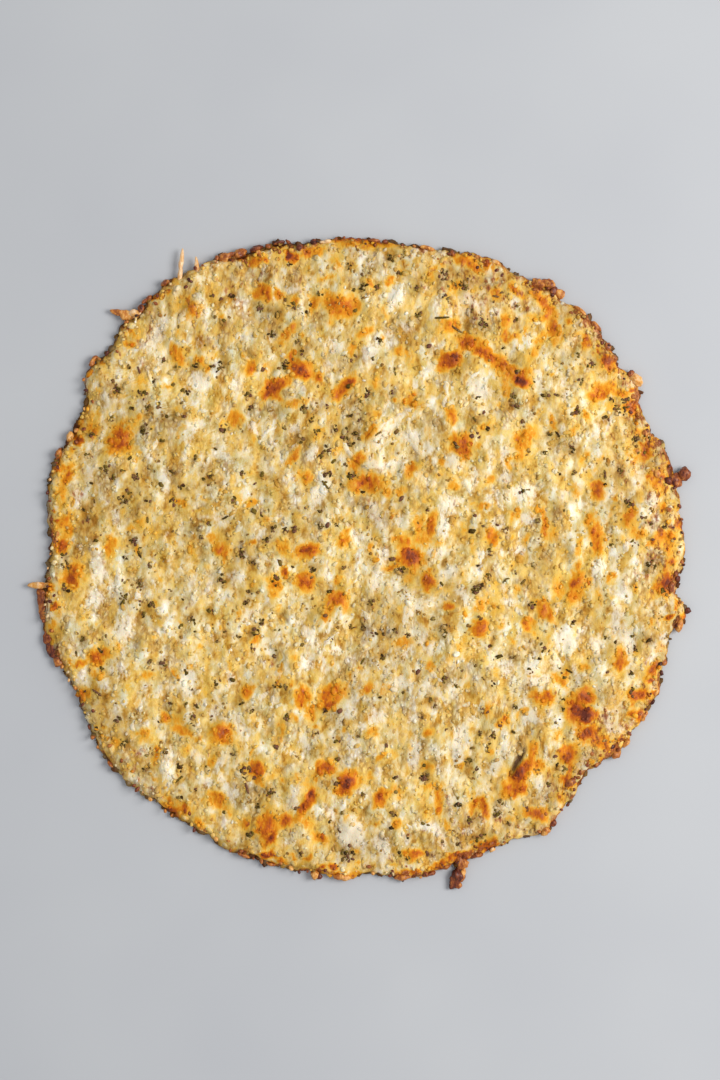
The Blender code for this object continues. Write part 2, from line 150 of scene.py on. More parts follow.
# Browned spots, in mm: x, y, length, width, turn, and how brown, from 0 golden to rust red above 1
BROWNED = (
    (-47, 129, 9, 4, 20, 0.55), (-31, 130, 5, 3, -60, 0.75), (-21, 133, 11, 6, 15, 0.95),
    (-24, 126, 6, 4, 60, 0.65), (-13, 128, 13, 7, -55, 0.70), (-16, 122, 8, 4, 10, 0.65),
    (-5, 136, 6, 3, 0, 0.8), (-45, 115, 9, 8, 60, 0.95), (-10, 111, 14, 11, -10, 1.0),
    (-62, 105, 4, 3, -40, 0.6), (-72, 102, 3, 3, 0, 0.5), (-64, 99, 7, 5, 0, 0.65),
    (-34, 97, 13, 5, 50, 0.8), (-80, 88, 11, 6, -60, 0.85), (-101, 93, 3, 2, 50, 0.6),
    (-53, 89, 5, 4, 0, 0.6), (-59, 80, 3, 3, 0, 0.5), (-51, 76, 4, 3, 30, 0.55),
    (-38, 75, 15, 6, 35, 1.15), (-28, 82, 12, 8, -15, 1.2), (-20, 79, 6, 4, -10, 0.9),
    (-32, 86, 3, 7, 0, 1.0), (-30, 67, 11, 5, 10, 0.8), (-37, 70, 7, 4, -40, 0.75),
    (-9, 74, 14, 7, 50, 1.0), (-6, 77, 5, 4, 50, 1.15), (-97, 61, 3, 4, 0, 0.55),
    (-94, 74, 3, 4, 0, 0.55), (-55, 61, 8, 6, 100, 0.75), (-80, 56, 8, 4, 75, 0.75),
    (-116, 51, 3, 3, 0, 0.5), (-106, 51, 12, 10, 45, 0.9), (-105, 50, 5, 4, 45, 1.1),
    (-129, 40, 11, 4, 15, 0.6), (-98, 42, 2, 4, 0, 0.6), (-31, 44, 12, 5, 50, 0.85),
    (-13, 45, 6, 4, 80, 0.75), (-4, 41, 10, 5, 65, 0.85), (-25, 35, 7, 3, 85, 0.65),
    (-134, 22, 3, 2, 90, 0.6), (-79, 24, 9, 5, -20, 0.75), (-69, 25, 5, 3, -20, 0.6),
    (-48, 24, 5, 3, 0, 0.6), (-129, 13, 12, 6, 80, 0.8), (-131, 5, 8, 7, 80, 1.05),
    (-135, 12, 6, 2, 90, 0.6), (-110, 5, 10, 6, 90, 0.85), (-98, 4, 5, 3, -60, 0.65),
    (-66, 9, 8, 6, -20, 0.8), (-62, 4, 9, 6, -55, 0.85), (-24, 3, 9, 7, 20, 1.1),
    (-9, 7, 7, 5, 65, 0.8), (-126, -6, 13, 10, 60, 0.9), (-127, -9, 5, 4, 0, 1.25),
    (-94, -1, 4, 2, 0, 0.6), (-121, -26, 6, 3, 30, 0.55), (-90, -28, 5, 5, 0, 0.7),
    (-91, -35, 4, 3, -20, 0.6), (-86, -34, 3, 3, 0, 0.6), (-116, -42, 9, 8, 0, 0.95),
    (-123, -46, 9, 3, 30, 0.8), (-94, -51, 8, 6, 20, 0.8), (-84, -49, 7, 4, 55, 0.7),
    (-122, -59, 8, 6, 100, 0.9), (-102, -56, 5, 2, 60, 0.6), (-62, -31, 3, 3, 0, 0.7),
    (-71, -38, 3, 2, 70, 0.65), (-47, -35, 7, 4, 60, 0.9), (-34, -6, 5, 3, 90, 1.15),
    (-25, -9, 9, 8, 0, 1.15), (-39, -13, 9, 7, 80, 0.85), (-37, -21, 7, 6, -50, 0.7),
    (-12, -9, 6, 4, 85, 0.7), (-11, -17, 9, 5, 20, 0.8), (-5, -14, 6, 3, 35, 0.6),
    (-31, -31, 6, 3, -35, 0.55), (-20, -29, 4, 3, 90, 0.6), (-30, -42, 6, 4, 30, 0.6),
    (-2, -39, 3, 3, 0, 0.55), (-14, -46, 3, 3, 0, 0.6), (-32, -54, 3, 3, 0, 0.6),
    (-50, -58, 10, 6, 90, 0.9), (-14, -61, 14, 10, 15, 1.0), (-13, -63, 6, 4, 15, 1.15),
    (-27, -60, 9, 7, 75, 0.85), (-23, -68, 9, 6, -60, 0.75), (-21, -73, 4, 3, 0, 1.0),
    (-18, -69, 3, 2, 0, 0.6), (-9, -75, 4, 3, 90, 0.6), (-86, -69, 6, 5, 0, 0.65),
    (-79, -75, 10, 5, -20, 0.75), (-72, -79, 3, 3, 0, 0.6), (-63, -76, 9, 8, 40, 0.85),
    (-116, -73, 2, 2, 0, 0.8), (-113, -79, 3, 2, -60, 0.8), (-100, -84, 3, 2, 0, 0.7),
    (-90, -86, 9, 5, 90, 0.85), (-90, -83, 4, 4, 0, 1.05), (-91, -95, 8, 4, -70, 0.8),
    (-74, -93, 3, 2, -40, 0.6), (-48, -84, 5, 2, 95, 0.65), (-47, -93, 9, 6, 100, 1.0),
    (-44, -98, 4, 3, -60, 0.7), (-35, -96, 4, 3, -60, 0.6), (-83, -109, 4, 3, 0, 0.9),
    (-77, -109, 7, 5, -30, 0.85), (-71, -115, 7, 3, -50, 0.75), (-71, -105, 2, 2, 0, 0.6),
    (-63, -105, 8, 6, -60, 0.8), (-42, -118, 14, 9, 85, 1.05), (-41, -121, 7, 5, 60, 1.25),
    (-47, -118, 5, 4, 0, 0.85), (-33, -114, 8, 6, 0, 1.05), (-25, -107, 17, 5, 60, 1.2),
    (-25, -115, 9, 5, -50, 0.8), (-19, -121, 9, 5, -25, 0.9), (-17, -91, 12, 7, 25, 0.85),
    (-21, -95, 5, 4, 0, 0.8), (-8, -98, 11, 8, 40, 1.2), (-3, -95, 4, 3, 0, 0.85),
    (-51, -128, 4, 1.5, 0, 0.9), (-42, -129, 5, 3, 0, 1.25), (-36, -131, 8, 3, -30, 0.95),
    (-24, -130, 5, 3, 0, 0.75), (-18, -134, 5, 4, -30, 0.85), (-10, -137, 12, 2, -5, 0.85),
    (-3, -128, 5, 2, 0, 0.8), (-3, -132, 4, 3, 0, 0.9), (11, 136, 21, 4, -3, 0.8),
    (3, 120, 8, 4, -30, 0.8), (18, 127, 9, 4, 5, 0.65), (11, 121, 4, 4, 0, 0.7),
    (46, 128, 17, 5, -30, 0.9), (48, 117, 7, 3, 10, 0.6), (58, 114, 8, 6, 70, 0.8),
    (66, 116, 10, 4, -35, 0.7), (62, 103, 7, 5, 90, 0.95), (62, 97, 5, 4, 90, 0.8),
    (76, 105, 15, 4, -5, 0.8), (82, 101, 15, 7, 90, 0.95), (77, 96, 9, 5, 60, 0.8),
    (70, 98, 6, 2, 90, 0.6), (89, 103, 4, 4, 0, 0.7), (78, 111, 15, 4, -48, 0.85),
    (38, 101, 14, 7, 5, 0.8), (44, 94, 9, 7, -45, 1.1), (37, 86, 10, 7, 35, 1.1),
    (52, 89, 17, 6, -42, 0.95), (60, 84, 11, 6, -40, 0.85), (67, 81, 12, 7, -5, 0.85),
    (68, 77, 8, 5, -15, 1.25), (74, 89, 15, 5, 60, 0.8), (62, 73, 9, 5, 80, 0.7),
    (97, 95, 9, 4, -60, 0.85), (106, 85, 8, 5, -60, 0.9), (20, 87, 11, 6, -60, 0.65),
    (15, 90, 8, 3, 10, 0.6), (42, 75, 8, 4, 50, 0.65), (5, 76, 8, 6, 90, 0.75),
    (21, 67, 9, 6, -20, 0.75), (38, 62, 7, 6, 80, 1.0), (81, 80, 3, 2, 0, 0.6), (93, 75, 4, 3, 0, 0.6),
    (92, 64, 5, 3, 75, 0.8), (105, 74, 10, 6, 20, 0.85), (100, 70, 8, 4, 20, 0.75),
    (113, 72, 8, 5, -30, 0.9), (116, 66, 9, 5, -60, 1.05), (53, 58, 11, 3, 25, 0.6),
    (71, 54, 14, 9, 65, 0.95), (76, 63, 9, 5, 60, 0.85), (81, 59, 9, 5, 95, 0.85),
    (119, 55, 5, 5, 40, 0.75), (123, 47, 12, 5, 65, 1.0), (44, 48, 13, 6, 100, 1.0),
    (43, 50, 6, 4, 90, 1.2), (50, 48, 4, 3, 90, 0.65), (53, 43, 4, 3, 90, 0.6), (96, 45, 7, 4, 60, 0.7),
    (117, 42, 7, 3, 45, 0.75), (127, 33, 11, 9, 20, 0.95), (124, 36, 3, 3, 0, 1.2),
    (130, 34, 4, 3, 0, 1.2), (2, 32, 14, 9, 0, 0.9), (9, 30, 8, 6, 0, 0.75), (16, 30, 4, 3, 0, 0.6),
    (39, 31, 6, 5, 0, 0.75), (55, 34, 6, 3, 10, 0.6), (101, 32, 12, 4, 0, 0.75),
    (102, 28, 8, 7, 90, 0.8), (28, 26, 7, 6, 0, 0.75), (24, 14, 12, 6, 100, 0.8),
    (29, 15, 15, 5, 75, 1.0), (26, 8, 8, 6, 0, 0.85), (48, 23, 3, 2, 0, 0.6), (53, 22, 7, 6, 0, 0.75),
    (64, 16, 7, 4, 75, 0.6), (64, 9, 4, 3, 60, 0.7), (56, 9, 9, 5, 100, 0.8), (46, 7, 6, 2, 90, 0.6),
    (76, 21, 7, 3, -15, 0.65), (79, 14, 13, 4, 95, 0.8), (98, 16, 10, 6, 60, 0.8),
    (101, 8, 16, 7, 95, 1.0), (107, 18, 7, 4, 100, 0.75), (115, 17, 11, 8, 60, 0.9),
    (118, 11, 8, 7, 40, 0.85), (112, 10, 6, 5, 0, 0.8), (124, 17, 6, 2, 90, 0.7),
    (130, 21, 6, 4, 60, 0.85), (125, 6, 5, 4, 50, 0.8), (132, 8, 11, 8, 20, 0.95),
    (93, 5, 10, 4, 75, 0.7), (86, 3, 6, 4, 0, 0.65), (3, 4, 6, 3, 65, 0.6), (17, 7, 5, 4, 0, 0.7),
    (20, 0, 11, 9, 10, 1.1), (5, 62, 9, 6, 40, 0.8), (3, 55, 11, 4, 50, 0.85), (28, -10, 9, 6, 95, 0.9),
    (38, -21, 5, 4, 0, 0.8), (50, -31, 8, 7, 40, 1.0), (60, -29, 6, 4, 70, 0.7),
    (42, -37, 9, 4, 65, 0.75), (28, -46, 7, 5, 60, 0.85), (57, -50, 6, 3, 90, 0.7),
    (45, -56, 3, 3, 0, 0.65), (85, -12, 14, 8, 90, 0.8), (92, -12, 17, 9, 75, 0.95),
    (92, -11, 6, 5, 60, 1.25), (94, -2, 8, 4, 90, 0.75), (97, -9, 5, 3, 0, 0.9),
    (78, -22, 13, 7, -60, 0.85), (71, -29, 8, 6, 0, 0.85), (74, -33, 5, 3, -60, 0.7),
    (102, -19, 11, 5, 100, 0.7), (118, -12, 4, 2, 90, 0.8), (133, -1, 4, 3, 0, 0.9),
    (132, -11, 9, 4, 75, 1.1), (136, -21, 5, 2, 80, 0.8), (111, -44, 10, 7, 90, 1.0),
    (95, -47, 6, 5, 0, 0.85), (88, -51, 9, 3, 90, 0.75), (126, -48, 10, 5, 50, 0.9),
    (120, -59, 9, 5, 10, 1.05), (120, -68, 5, 4, 60, 1.05), (78, -61, 9, 6, -30, 0.9),
    (61, -71, 7, 5, 40, 0.9), (28, -76, 6, 4, 60, 0.65), (96, -60, 9, 8, 0, 0.95),
    (92, -67, 12, 9, 80, 1.0), (97, -68, 7, 6, 0, 1.45), (97, -76, 11, 8, 0, 1.1),
    (104, -80, 10, 7, -50, 1.15), (112, -79, 5, 3, 60, 0.9), (84, -77, 8, 6, 60, 0.85),
    (88, -85, 10, 8, 70, 1.0), (90, -91, 8, 3, 80, 0.95), (88, -97, 7, 6, 0, 1.15),
    (99, -88, 3, 3, 0, 0.85), (73, -84, 11, 4, 85, 0.95), (76, -90, 6, 6, 0, 0.85),
    (69, -93, 15, 7, 55, 1.15), (65, -100, 11, 7, 20, 1.1), (75, -111, 11, 6, 10, 1.1),
    (50, -105, 6, 4, 0, 0.85), (47, -109, 7, 3, 70, 0.8), (52, -109, 8, 3, 110, 0.9),
    (8, -86, 8, 3, 50, 0.65), (14, -86, 8, 4, -50, 0.75), (27, -91, 7, 5, -25, 0.7),
    (2, -95, 3, 3, 0, 0.65), (7, -104, 8, 6, 60, 1.1), (27, -99, 11, 4, 20, 0.75),
    (32, -107, 14, 5, 95, 1.0), (36, -116, 8, 3, -60, 0.85), (26, -110, 7, 4, 100, 0.75),
    (14, -115, 5, 4, 60, 0.8), (18, -128, 4, 3, 0, 0.7), (23, -129, 7, 5, 30, 1.0),
    (28, -126, 5, 3, 0, 0.7), (20, -136, 17, 3, 5, 0.9), (33, -133, 15, 3, 17, 1.0),
    (44, -129, 13, 4, 30, 1.15), (53, -125, 10, 5, 35, 1.1), (109, -7, 2, 2, 0, 0.8),
    (107, -17, 3, 2, 90, 0.6),
)

# Pale spots of barely browned cheese, in mm: x, y, length, width, turn, and how white
PALE = (
    (-40, 128, 6, 3, 55, 0.6), (2, 128, 4, 4, 0, 0.8), (-62, 120, 5, 3, 10, 0.6),
    (-72, 112, 8, 5, -45, 0.8), (-31, 117, 7, 4, 10, 0.75), (-27, 112, 12, 4, 95, 0.75),
    (13, 113, 12, 6, 62, 1.1), (26, 119, 7, 4, 110, 0.75), (-89, 98, 21, 7, 62, 0.9),
    (-95, 93, 6, 5, 0, 0.75), (-89, 85, 9, 4, 85, 0.8), (-101, 77, 10, 4, 85, 0.75),
    (-71, 77, 10, 8, 20, 1.0), (-109, 69, 9, 4, 0, 0.75), (-113, 63, 15, 3, 87, 0.75),
    (-72, 58, 9, 5, 20, 0.75), (-76, 52, 8, 4, 70, 0.7), (-48, 56, 7, 3, -60, 1.0),
    (-48, 98, 5, 3, 80, 0.6), (-42, 83, 9, 4, 70, 0.75), (-39, 87, 5, 3, 20, 0.7),
    (-30, 57, 10, 5, 60, 0.75), (-23, 46, 11, 4, 65, 0.8), (-60, 44, 7, 4, -60, 0.65),
    (-31, 36, 6, 4, 40, 0.75), (-119, 37, 14, 6, 75, 0.8), (-125, 29, 9, 5, 80, 0.75),
    (-119, 29, 6, 5, 0, 0.75), (-87, 33, 14, 5, 100, 0.8), (-17, 33, 9, 6, 60, 0.85),
    (-20, 27, 13, 6, 60, 0.85), (-107, 16, 14, 4, -65, 0.75), (-35, 17, 7, 5, -20, 0.75),
    (-46, 9, 14, 4, 50, 0.75), (-65, 18, 14, 4, 5, 0.7), (-61, 16, 6, 5, 0, 0.7),
    (-86, 8, 8, 3, 75, 0.65), (-78, 4, 10, 3, -70, 0.7), (-124, 5, 7, 3, -70, 0.65),
    (-12, 21, 8, 3, 60, 0.65), (-8, 15, 7, 3, 0, 0.75), (-3, 9, 10, 6, -60, 0.95),
    (4, 20, 10, 5, 100, 0.85), (7, 15, 7, 3, -60, 0.75), (11, 19, 5, 4, 0, 0.8),
    (15, 17, 6, 5, 90, 0.85), (9, 2, 7, 5, 90, 0.85), (-13, 92, 9, 6, -20, 0.8),
    (-15, 83, 8, 5, -30, 0.75), (2, 89, 10, 7, 70, 0.95), (8, 95, 12, 6, 40, 0.85),
    (18, 101, 10, 4, -30, 0.75), (23, 74, 6, 4, 90, 0.8), (51, 73, 12, 8, -45, 1.0),
    (76, 77, 12, 5, 100, 0.8), (91, 96, 9, 5, 70, 0.8), (86, 77, 4, 4, 0, 0.7),
    (109, 79, 5, 3, -60, 0.65), (48, 102, 5, 3, 95, 0.7), (38, 108, 7, 3, 15, 0.65),
    (10, 67, 5, 3, 60, 0.6), (12, 57, 8, 5, 45, 1.0), (6, 51, 13, 4, 50, 1.0), (2, 44, 7, 5, 80, 0.8),
    (7, 40, 10, 5, -30, 1.0), (13, 41, 5, 4, 60, 0.8), (22, 53, 12, 6, 15, 1.0),
    (27, 48, 9, 5, -60, 0.85), (39, 42, 9, 7, -20, 1.1), (26, 35, 9, 5, -60, 0.8),
    (48, 36, 10, 4, 75, 0.75), (62, 44, 14, 5, 90, 1.0), (62, 35, 8, 5, 0, 0.9),
    (58, 27, 10, 4, -60, 0.8), (59, 16, 8, 4, 80, 0.75), (69, 28, 11, 9, -10, 1.0),
    (71, 17, 7, 6, 0, 0.85), (86, 56, 6, 3, -80, 0.75), (87, 27, 5, 5, 0, 0.85),
    (98, 39, 9, 3, 30, 0.85), (93, 31, 11, 3, 100, 0.85), (94, 24, 7, 6, 0, 0.9),
    (108, 28, 6, 4, 80, 0.75), (101, 55, 10, 3, 85, 0.75), (126, 26, 10, 6, 45, 1.1),
    (113, 50, 5, 2, 90, 0.65), (130, 39, 6, 2, 110, 0.7), (134, 18, 12, 2, 95, 0.8),
    (106, 10, 5, 4, 60, 0.8), (37, 23, 10, 8, 30, 0.95), (34, 13, 15, 6, 85, 1.0),
    (31, 3, 9, 5, 30, 0.9), (83, 9, 7, 3, 75, 0.75), (67, 3, 7, 5, 0, 0.85), (51, 2, 5, 5, 0, 0.75),
    (60, 3, 6, 3, 90, 0.75), (-115, -6, 12, 7, 100, 1.0), (-117, -18, 10, 7, 60, 0.9),
    (-108, -12, 8, 6, 50, 0.8), (-104, -31, 13, 8, 80, 1.05), (-86, -20, 7, 3, 80, 0.65),
    (-67, -12, 9, 4, 90, 0.7), (-55, -8, 8, 7, 20, 0.85), (-50, -25, 10, 6, 35, 0.8),
    (-78, -36, 7, 4, 0, 0.65), (-66, -35, 5, 3, 70, 0.6), (-41, -38, 9, 5, -65, 0.75),
    (-44, -46, 5, 4, 60, 0.7), (-104, -51, 6, 4, 0, 0.65), (-77, -54, 17, 8, 85, 1.0),
    (-84, -57, 7, 3, 30, 0.7), (-58, -53, 10, 5, 85, 0.8), (-44, -59, 6, 3, 60, 0.7),
    (-97, -64, 11, 4, 60, 0.8), (-96, -71, 6, 3, -40, 0.75), (-64, -66, 10, 6, 50, 0.75),
    (-54, -73, 14, 5, -70, 0.8), (-85, -88, 14, 5, 70, 0.9), (-72, -86, 8, 5, -40, 0.8),
    (-69, -97, 6, 5, 0, 0.8), (-62, -88, 15, 5, 65, 0.85), (-59, -100, 15, 5, -55, 0.85),
    (-30, -103, 9, 4, 80, 0.8), (-26, -80, 9, 5, -70, 0.8), (-31, -85, 5, 3, -30, 0.6),
    (-13, -83, 5, 3, 0, 0.65), (-5, -81, 6, 5, 60, 0.85), (-26, -25, 14, 4, 70, 0.8),
    (-22, -36, 17, 5, -60, 0.85), (-16, -31, 9, 3, 50, 0.75), (-24, -45, 11, 5, 50, 0.8),
    (-18, -46, 12, 4, -80, 0.8), (-12, -40, 6, 5, 80, 0.75), (-31, -17, 5, 3, 80, 0.6),
    (-1, -24, 5, 3, 30, 0.7), (6, -6, 18, 6, 75, 1.0), (3, -43, 10, 4, -60, 0.75),
    (12, -45, 5, 4, 80, 0.7), (18, -38, 10, 9, 0, 0.85), (26, -35, 16, 5, -60, 0.9),
    (20, -22, 13, 5, 80, 0.85), (26, -20, 11, 5, 10, 0.8), (38, -7, 9, 6, 20, 0.95),
    (44, -16, 15, 4, -50, 0.9), (50, -20, 8, 3, 30, 0.8), (23, -48, 8, 3, 85, 0.8),
    (13, -55, 17, 6, 15, 0.95), (-2, -61, 9, 6, 0, 0.8), (-7, -68, 6, 5, 0, 0.75),
    (0, -73, 9, 5, 0, 0.75), (6, -68, 9, 7, 60, 0.8), (21, -66, 15, 4, 95, 0.8),
    (31, -57, 13, 4, -50, 0.85), (39, -56, 9, 3, 75, 0.8), (62, -48, 8, 6, 60, 0.9),
    (53, -63, 5, 5, 0, 0.7), (63, -19, 7, 5, 0, 0.85), (67, -23, 6, 3, -40, 0.75),
    (60, -12, 5, 4, 80, 0.75), (74, -47, 10, 8, 20, 1.0), (76, -53, 13, 4, 10, 0.9),
    (87, -35, 14, 9, 80, 1.1), (84, -45, 9, 6, 60, 0.9), (92, -50, 13, 3, -80, 0.85),
    (94, -31, 8, 3, 40, 0.8), (71, -61, 9, 5, 100, 0.85), (72, -69, 9, 7, 50, 0.9),
    (83, -23, 4, 4, 0, 0.75), (101, -37, 11, 5, 80, 0.85), (101, -6, 14, 5, 80, 0.95),
    (113, -15, 9, 6, -60, 0.95), (110, -26, 12, 5, 75, 0.9), (115, -35, 13, 6, -80, 1.05),
    (120, -7, 6, 5, -40, 0.8), (129, -37, 14, 5, 70, 1.1), (124, -43, 6, 3, 50, 0.85),
    (126, -19, 5, 4, 70, 0.75), (131, -25, 5, 4, 0, 0.7), (102, -56, 5, 4, 50, 0.75),
    (106, -70, 8, 5, 90, 1.0), (111, -74, 10, 4, 0, 1.0), (116, -69, 8, 3, 90, 0.9),
    (95, -91, 17, 4, 80, 0.8), (79, -86, 10, 3, 95, 0.75), (76, -98, 10, 5, 80, 1.0),
    (78, -104, 9, 4, -60, 0.95), (84, -105, 9, 3, 35, 0.9), (41, -81, 17, 6, 90, 1.05),
    (31, -83, 11, 5, -60, 0.75), (33, -91, 5, 4, 60, 0.7), (22, -84, 15, 5, 85, 0.95),
    (56, -91, 10, 6, 30, 0.9), (61, -83, 10, 6, 70, 0.85), (38, -104, 16, 4, 90, 0.8),
    (15, -105, 8, 6, 0, 0.75), (-1, -101, 6, 4, 0, 0.75), (-15, -110, 9, 4, -55, 0.85),
    (-6, -119, 13, 11, -45, 1.25), (8, -125, 11, 6, -60, 1.1), (-32, -123, 8, 4, 25, 0.75),
    (1, -133, 8, 3, 50, 0.75), (29, -118, 15, 5, -30, 0.9), (34, -123, 8, 4, -80, 0.85),
    (44, -118, 8, 3, 0, 0.8), (59, -119, 4, 3, 60, 0.75), (-55, -92, 6, 3, 90, 0.6),
    (3, 36, 4, 4, 0, 0.6),
)

# Where the edge is browned: its middle angle, how far it reaches each way, and how brown it is
EDGE_BROWNED = (
    (6, 4, 0.6),
    (15, 6, 0.8),
    (22, 4, 0.6),
    (31, 7, 0.8),
    (41, 5, 0.6),
    (47, 7, 0.8),
    (57, 7, 1.0),
    (67, 6, 0.6),
    (79, 6, 0.6),
    (91, 7, 0.4),
    (104, 9, 1.0),
    (114, 6, 0.7),
    (130, 10, 0.5),
    (146, 8, 0.5),
    (160, 7, 0.6),
    (175, 8, 0.7),
    (188, 6, 0.8),
    (197, 5, 0.9),
    (220, 9, 0.4),
    (250, 9, 0.5),
    (263, 8, 0.8),
    (278, 6, 0.7),
    (289, 9, 1.0),
    (304, 4, 0.8),
    (314, 5, 0.9),
    (323, 5, 1.0),
    (335, 9, 1.0),
    (349, 5, 0.8),
    (356, 6, 0.9),
)
EDGE_BROWN_WIDTHS = (1.2 * MM, 5.0 * MM)

# Where the dark foot of the edge shows past it, burnt and with painted shadow away from the lamp: its middle
# angle, how far it reaches each way, and its width
EDGE_FOOT = (
    (68, 18, 0.3 * MM),
    (107, 16, 0.9 * MM),
    (135, 16, 1.0 * MM),
    (158, 18, 1.1 * MM),
    (184, 18, 1.0 * MM),
    (208, 18, 0.8 * MM),
    (234, 20, 0.7 * MM),
    (256, 14, 0.5 * MM),
)

# Crisp knobs of crumb and cheese along the edge: angle, length along the edge, width, how far the middle
# stands out, in mm, and tone from 0 burnt to 1 pale
EDGE_KNOBS = (
    (5.8, 2.2, 3.2, -4.5, 0.12),
    (9.0, 3.0, 2.5, -4.5, 0.48),
    (14.2, 3.4, 3.4, -3.5, 0.24),
    (16.0, 4.5, 2.5, -7.0, 0.52),
    (21.5, 3.5, 2.4, -1.0, 0.32),
    (24.0, 2.5, 2.5, -3.0, 0.42),
    (28.5, 3.5, 3.0, -4.5, 0.24),
    (31.0, 3.5, 3.0, -4.0, 0.38),
    (33.2, 6.0, 4.4, 0.2, 0.68),
    (34.8, 3.0, 3.2, 0.6, 0.26),
    (38.5, 4.0, 3.5, -0.8, 0.52),
    (41.0, 3.5, 3.0, -1.0, 0.44),
    (42.2, 2.4, 2.4, -2.5, 0.22),
    (45.0, 6.0, 2.2, 0.0, 0.46),
    (49.0, 6.5, 2.2, 0.0, 0.52),
    (54.5, 3.0, 4.6, 0.6, 0.26),
    (57.5, 7.0, 3.6, 0.0, 0.46),
    (66.0, 4.5, 2.5, -1.0, 0.64),
    (69.0, 3.5, 2.5, -1.5, 0.56),
    (78.5, 7.0, 2.0, -0.3, 0.50),
    (88.0, 5.0, 1.8, -0.3, 0.36),
    (97.0, 5.0, 2.0, -0.5, 0.84),
    (99.0, 3.0, 2.5, -0.3, 0.20),
    (101.5, 3.2, 3.0, -2.5, 0.18),
    (105.0, 6.0, 2.2, -0.4, 0.20),
    (109.0, 6.0, 2.2, 0.0, 0.26),
    (114.0, 6.5, 2.6, 0.2, 0.38),
    (126.0, 5.0, 2.2, 0.0, 0.34),
    (130.0, 5.0, 2.4, 0.0, 0.38),
    (144.0, 5.5, 3.0, 0.0, 0.46),
    (157.5, 4.5, 2.6, -0.6, 0.62),
    (161.0, 5.0, 2.2, -0.8, 0.42),
    (176.0, 6.0, 2.5, -3.5, 0.48),
    (219.0, 4.0, 2.2, -0.4, 0.40),
    (248.0, 6.0, 2.0, -0.3, 0.42),
    (253.0, 5.0, 2.0, -0.3, 0.38),
    (261.0, 4.0, 3.6, 0.3, 0.58),
    (262.0, 2.5, 2.4, 1.0, 0.22),
    (266.0, 8.0, 2.2, 0.0, 0.54),
    (277.0, 7.0, 2.4, 0.0, 0.44),
    (281.5, 6.0, 2.4, -0.3, 0.34),
    (285.0, 5.0, 2.5, -0.5, 0.38),
    (291.0, 6.0, 2.4, 0.0, 0.38),
    (294.0, 3.5, 3.0, 0.0, 0.64),
    (303.5, 4.5, 3.4, 0.2, 0.52),
    (305.5, 3.0, 2.4, -0.2, 0.32),
    (313.0, 6.5, 3.0, -4.5, 0.36),
    (318.5, 3.5, 2.2, -0.5, 0.38),
    (322.0, 4.0, 3.0, 0.2, 0.48),
    (322.8, 3.0, 2.6, -4.0, 0.14),
    (325.0, 4.5, 2.2, 0.0, 0.52),
    (330.5, 5.0, 3.0, -0.8, 0.44),
    (333.5, 3.0, 2.4, 0.2, 0.18),
    (335.5, 4.5, 2.6, -0.6, 0.52),
    (339.0, 3.0, 3.0, -0.8, 0.14),
    (341.0, 2.6, 2.4, -0.3, 0.38),
    (348.0, 5.0, 3.2, 0.0, 0.54),
    (350.8, 2.6, 2.6, 0.6, 0.18),
    (354.5, 5.0, 3.0, -2.8, 0.28),
    (356.5, 3.0, 2.6, -0.6, 0.18),
    (359.0, 3.5, 2.6, -1.0, 0.38),
)

# Broad parts of the top that are browner than the rest, in mm: x, y, length, width, turn, and how much
BROAD_BROWNED = (
    (128, 10, 90, 26, 90, 0.10),
    (104, 88, 70, 30, -45, 0.14),
    (112, -62, 50, 24, 60, 0.08),
    (50, 112, 75, 50, -25, 0.30),
    (122, 50, 95, 50, 80, 0.26),
    (128, -5, 70, 34, 90, 0.16),
    (100, -85, 90, 60, 45, 0.28),
    (45, -118, 70, 40, 15, 0.14),
    (-50, 112, 90, 40, 25, 0.12),
    (-122, 20, 95, 34, 90, 0.12),
    (-15, 68, 60, 34, 20, 0.14),
)

# Creases in the top, in mm: x, y, length, width, turn, and depth
CREASES = (
    (66.8, -88.2, 18.5, 4.2, 62, 1.5),
    (-4.6, 36.8, 10.0, 3.0, -55, 1.0),
    (-13.0, 42.0, 9.0, 3.0, 70, 0.8),
)

# Listed melted shreds, in mm and degrees: x, y, length, width, turn, and how far its ends bend aside
SHREDS = (
    (13.9, 113.3, 19, 4.2, 62, 1.5),
    (8.3, 56.3, 24, 3.6, 38, -2.5),
    (21.7, 52.4, 20, 3.2, -70, 2.0),
    (-2.5, 44.0, 19, 3.4, -38, 2.0),
    (57.8, 86.2, 23, 3.4, -37, -2.5),
    (40.8, 92.0, 11, 3.0, 75, 1.0),
    (5.7, -2.8, 15, 3.4, 80, 1.0),
    (18.3, -23.7, 14, 3.2, 75, -1.0),
    (102.2, -4.6, 21, 3.4, 86, 1.2),
    (-76.1, 108.5, 18, 3.6, 55, -1.5),
    (-86.5, -89.8, 17, 3.6, 84, 1.0),
    (33.0, 16.0, 17, 3.0, 82, -1.0),
    (-28.3, -109.8, 13, 3.2, 36, 0.8),
    (-17.8, 32.8, 12, 3.0, -80, 0.8),
)

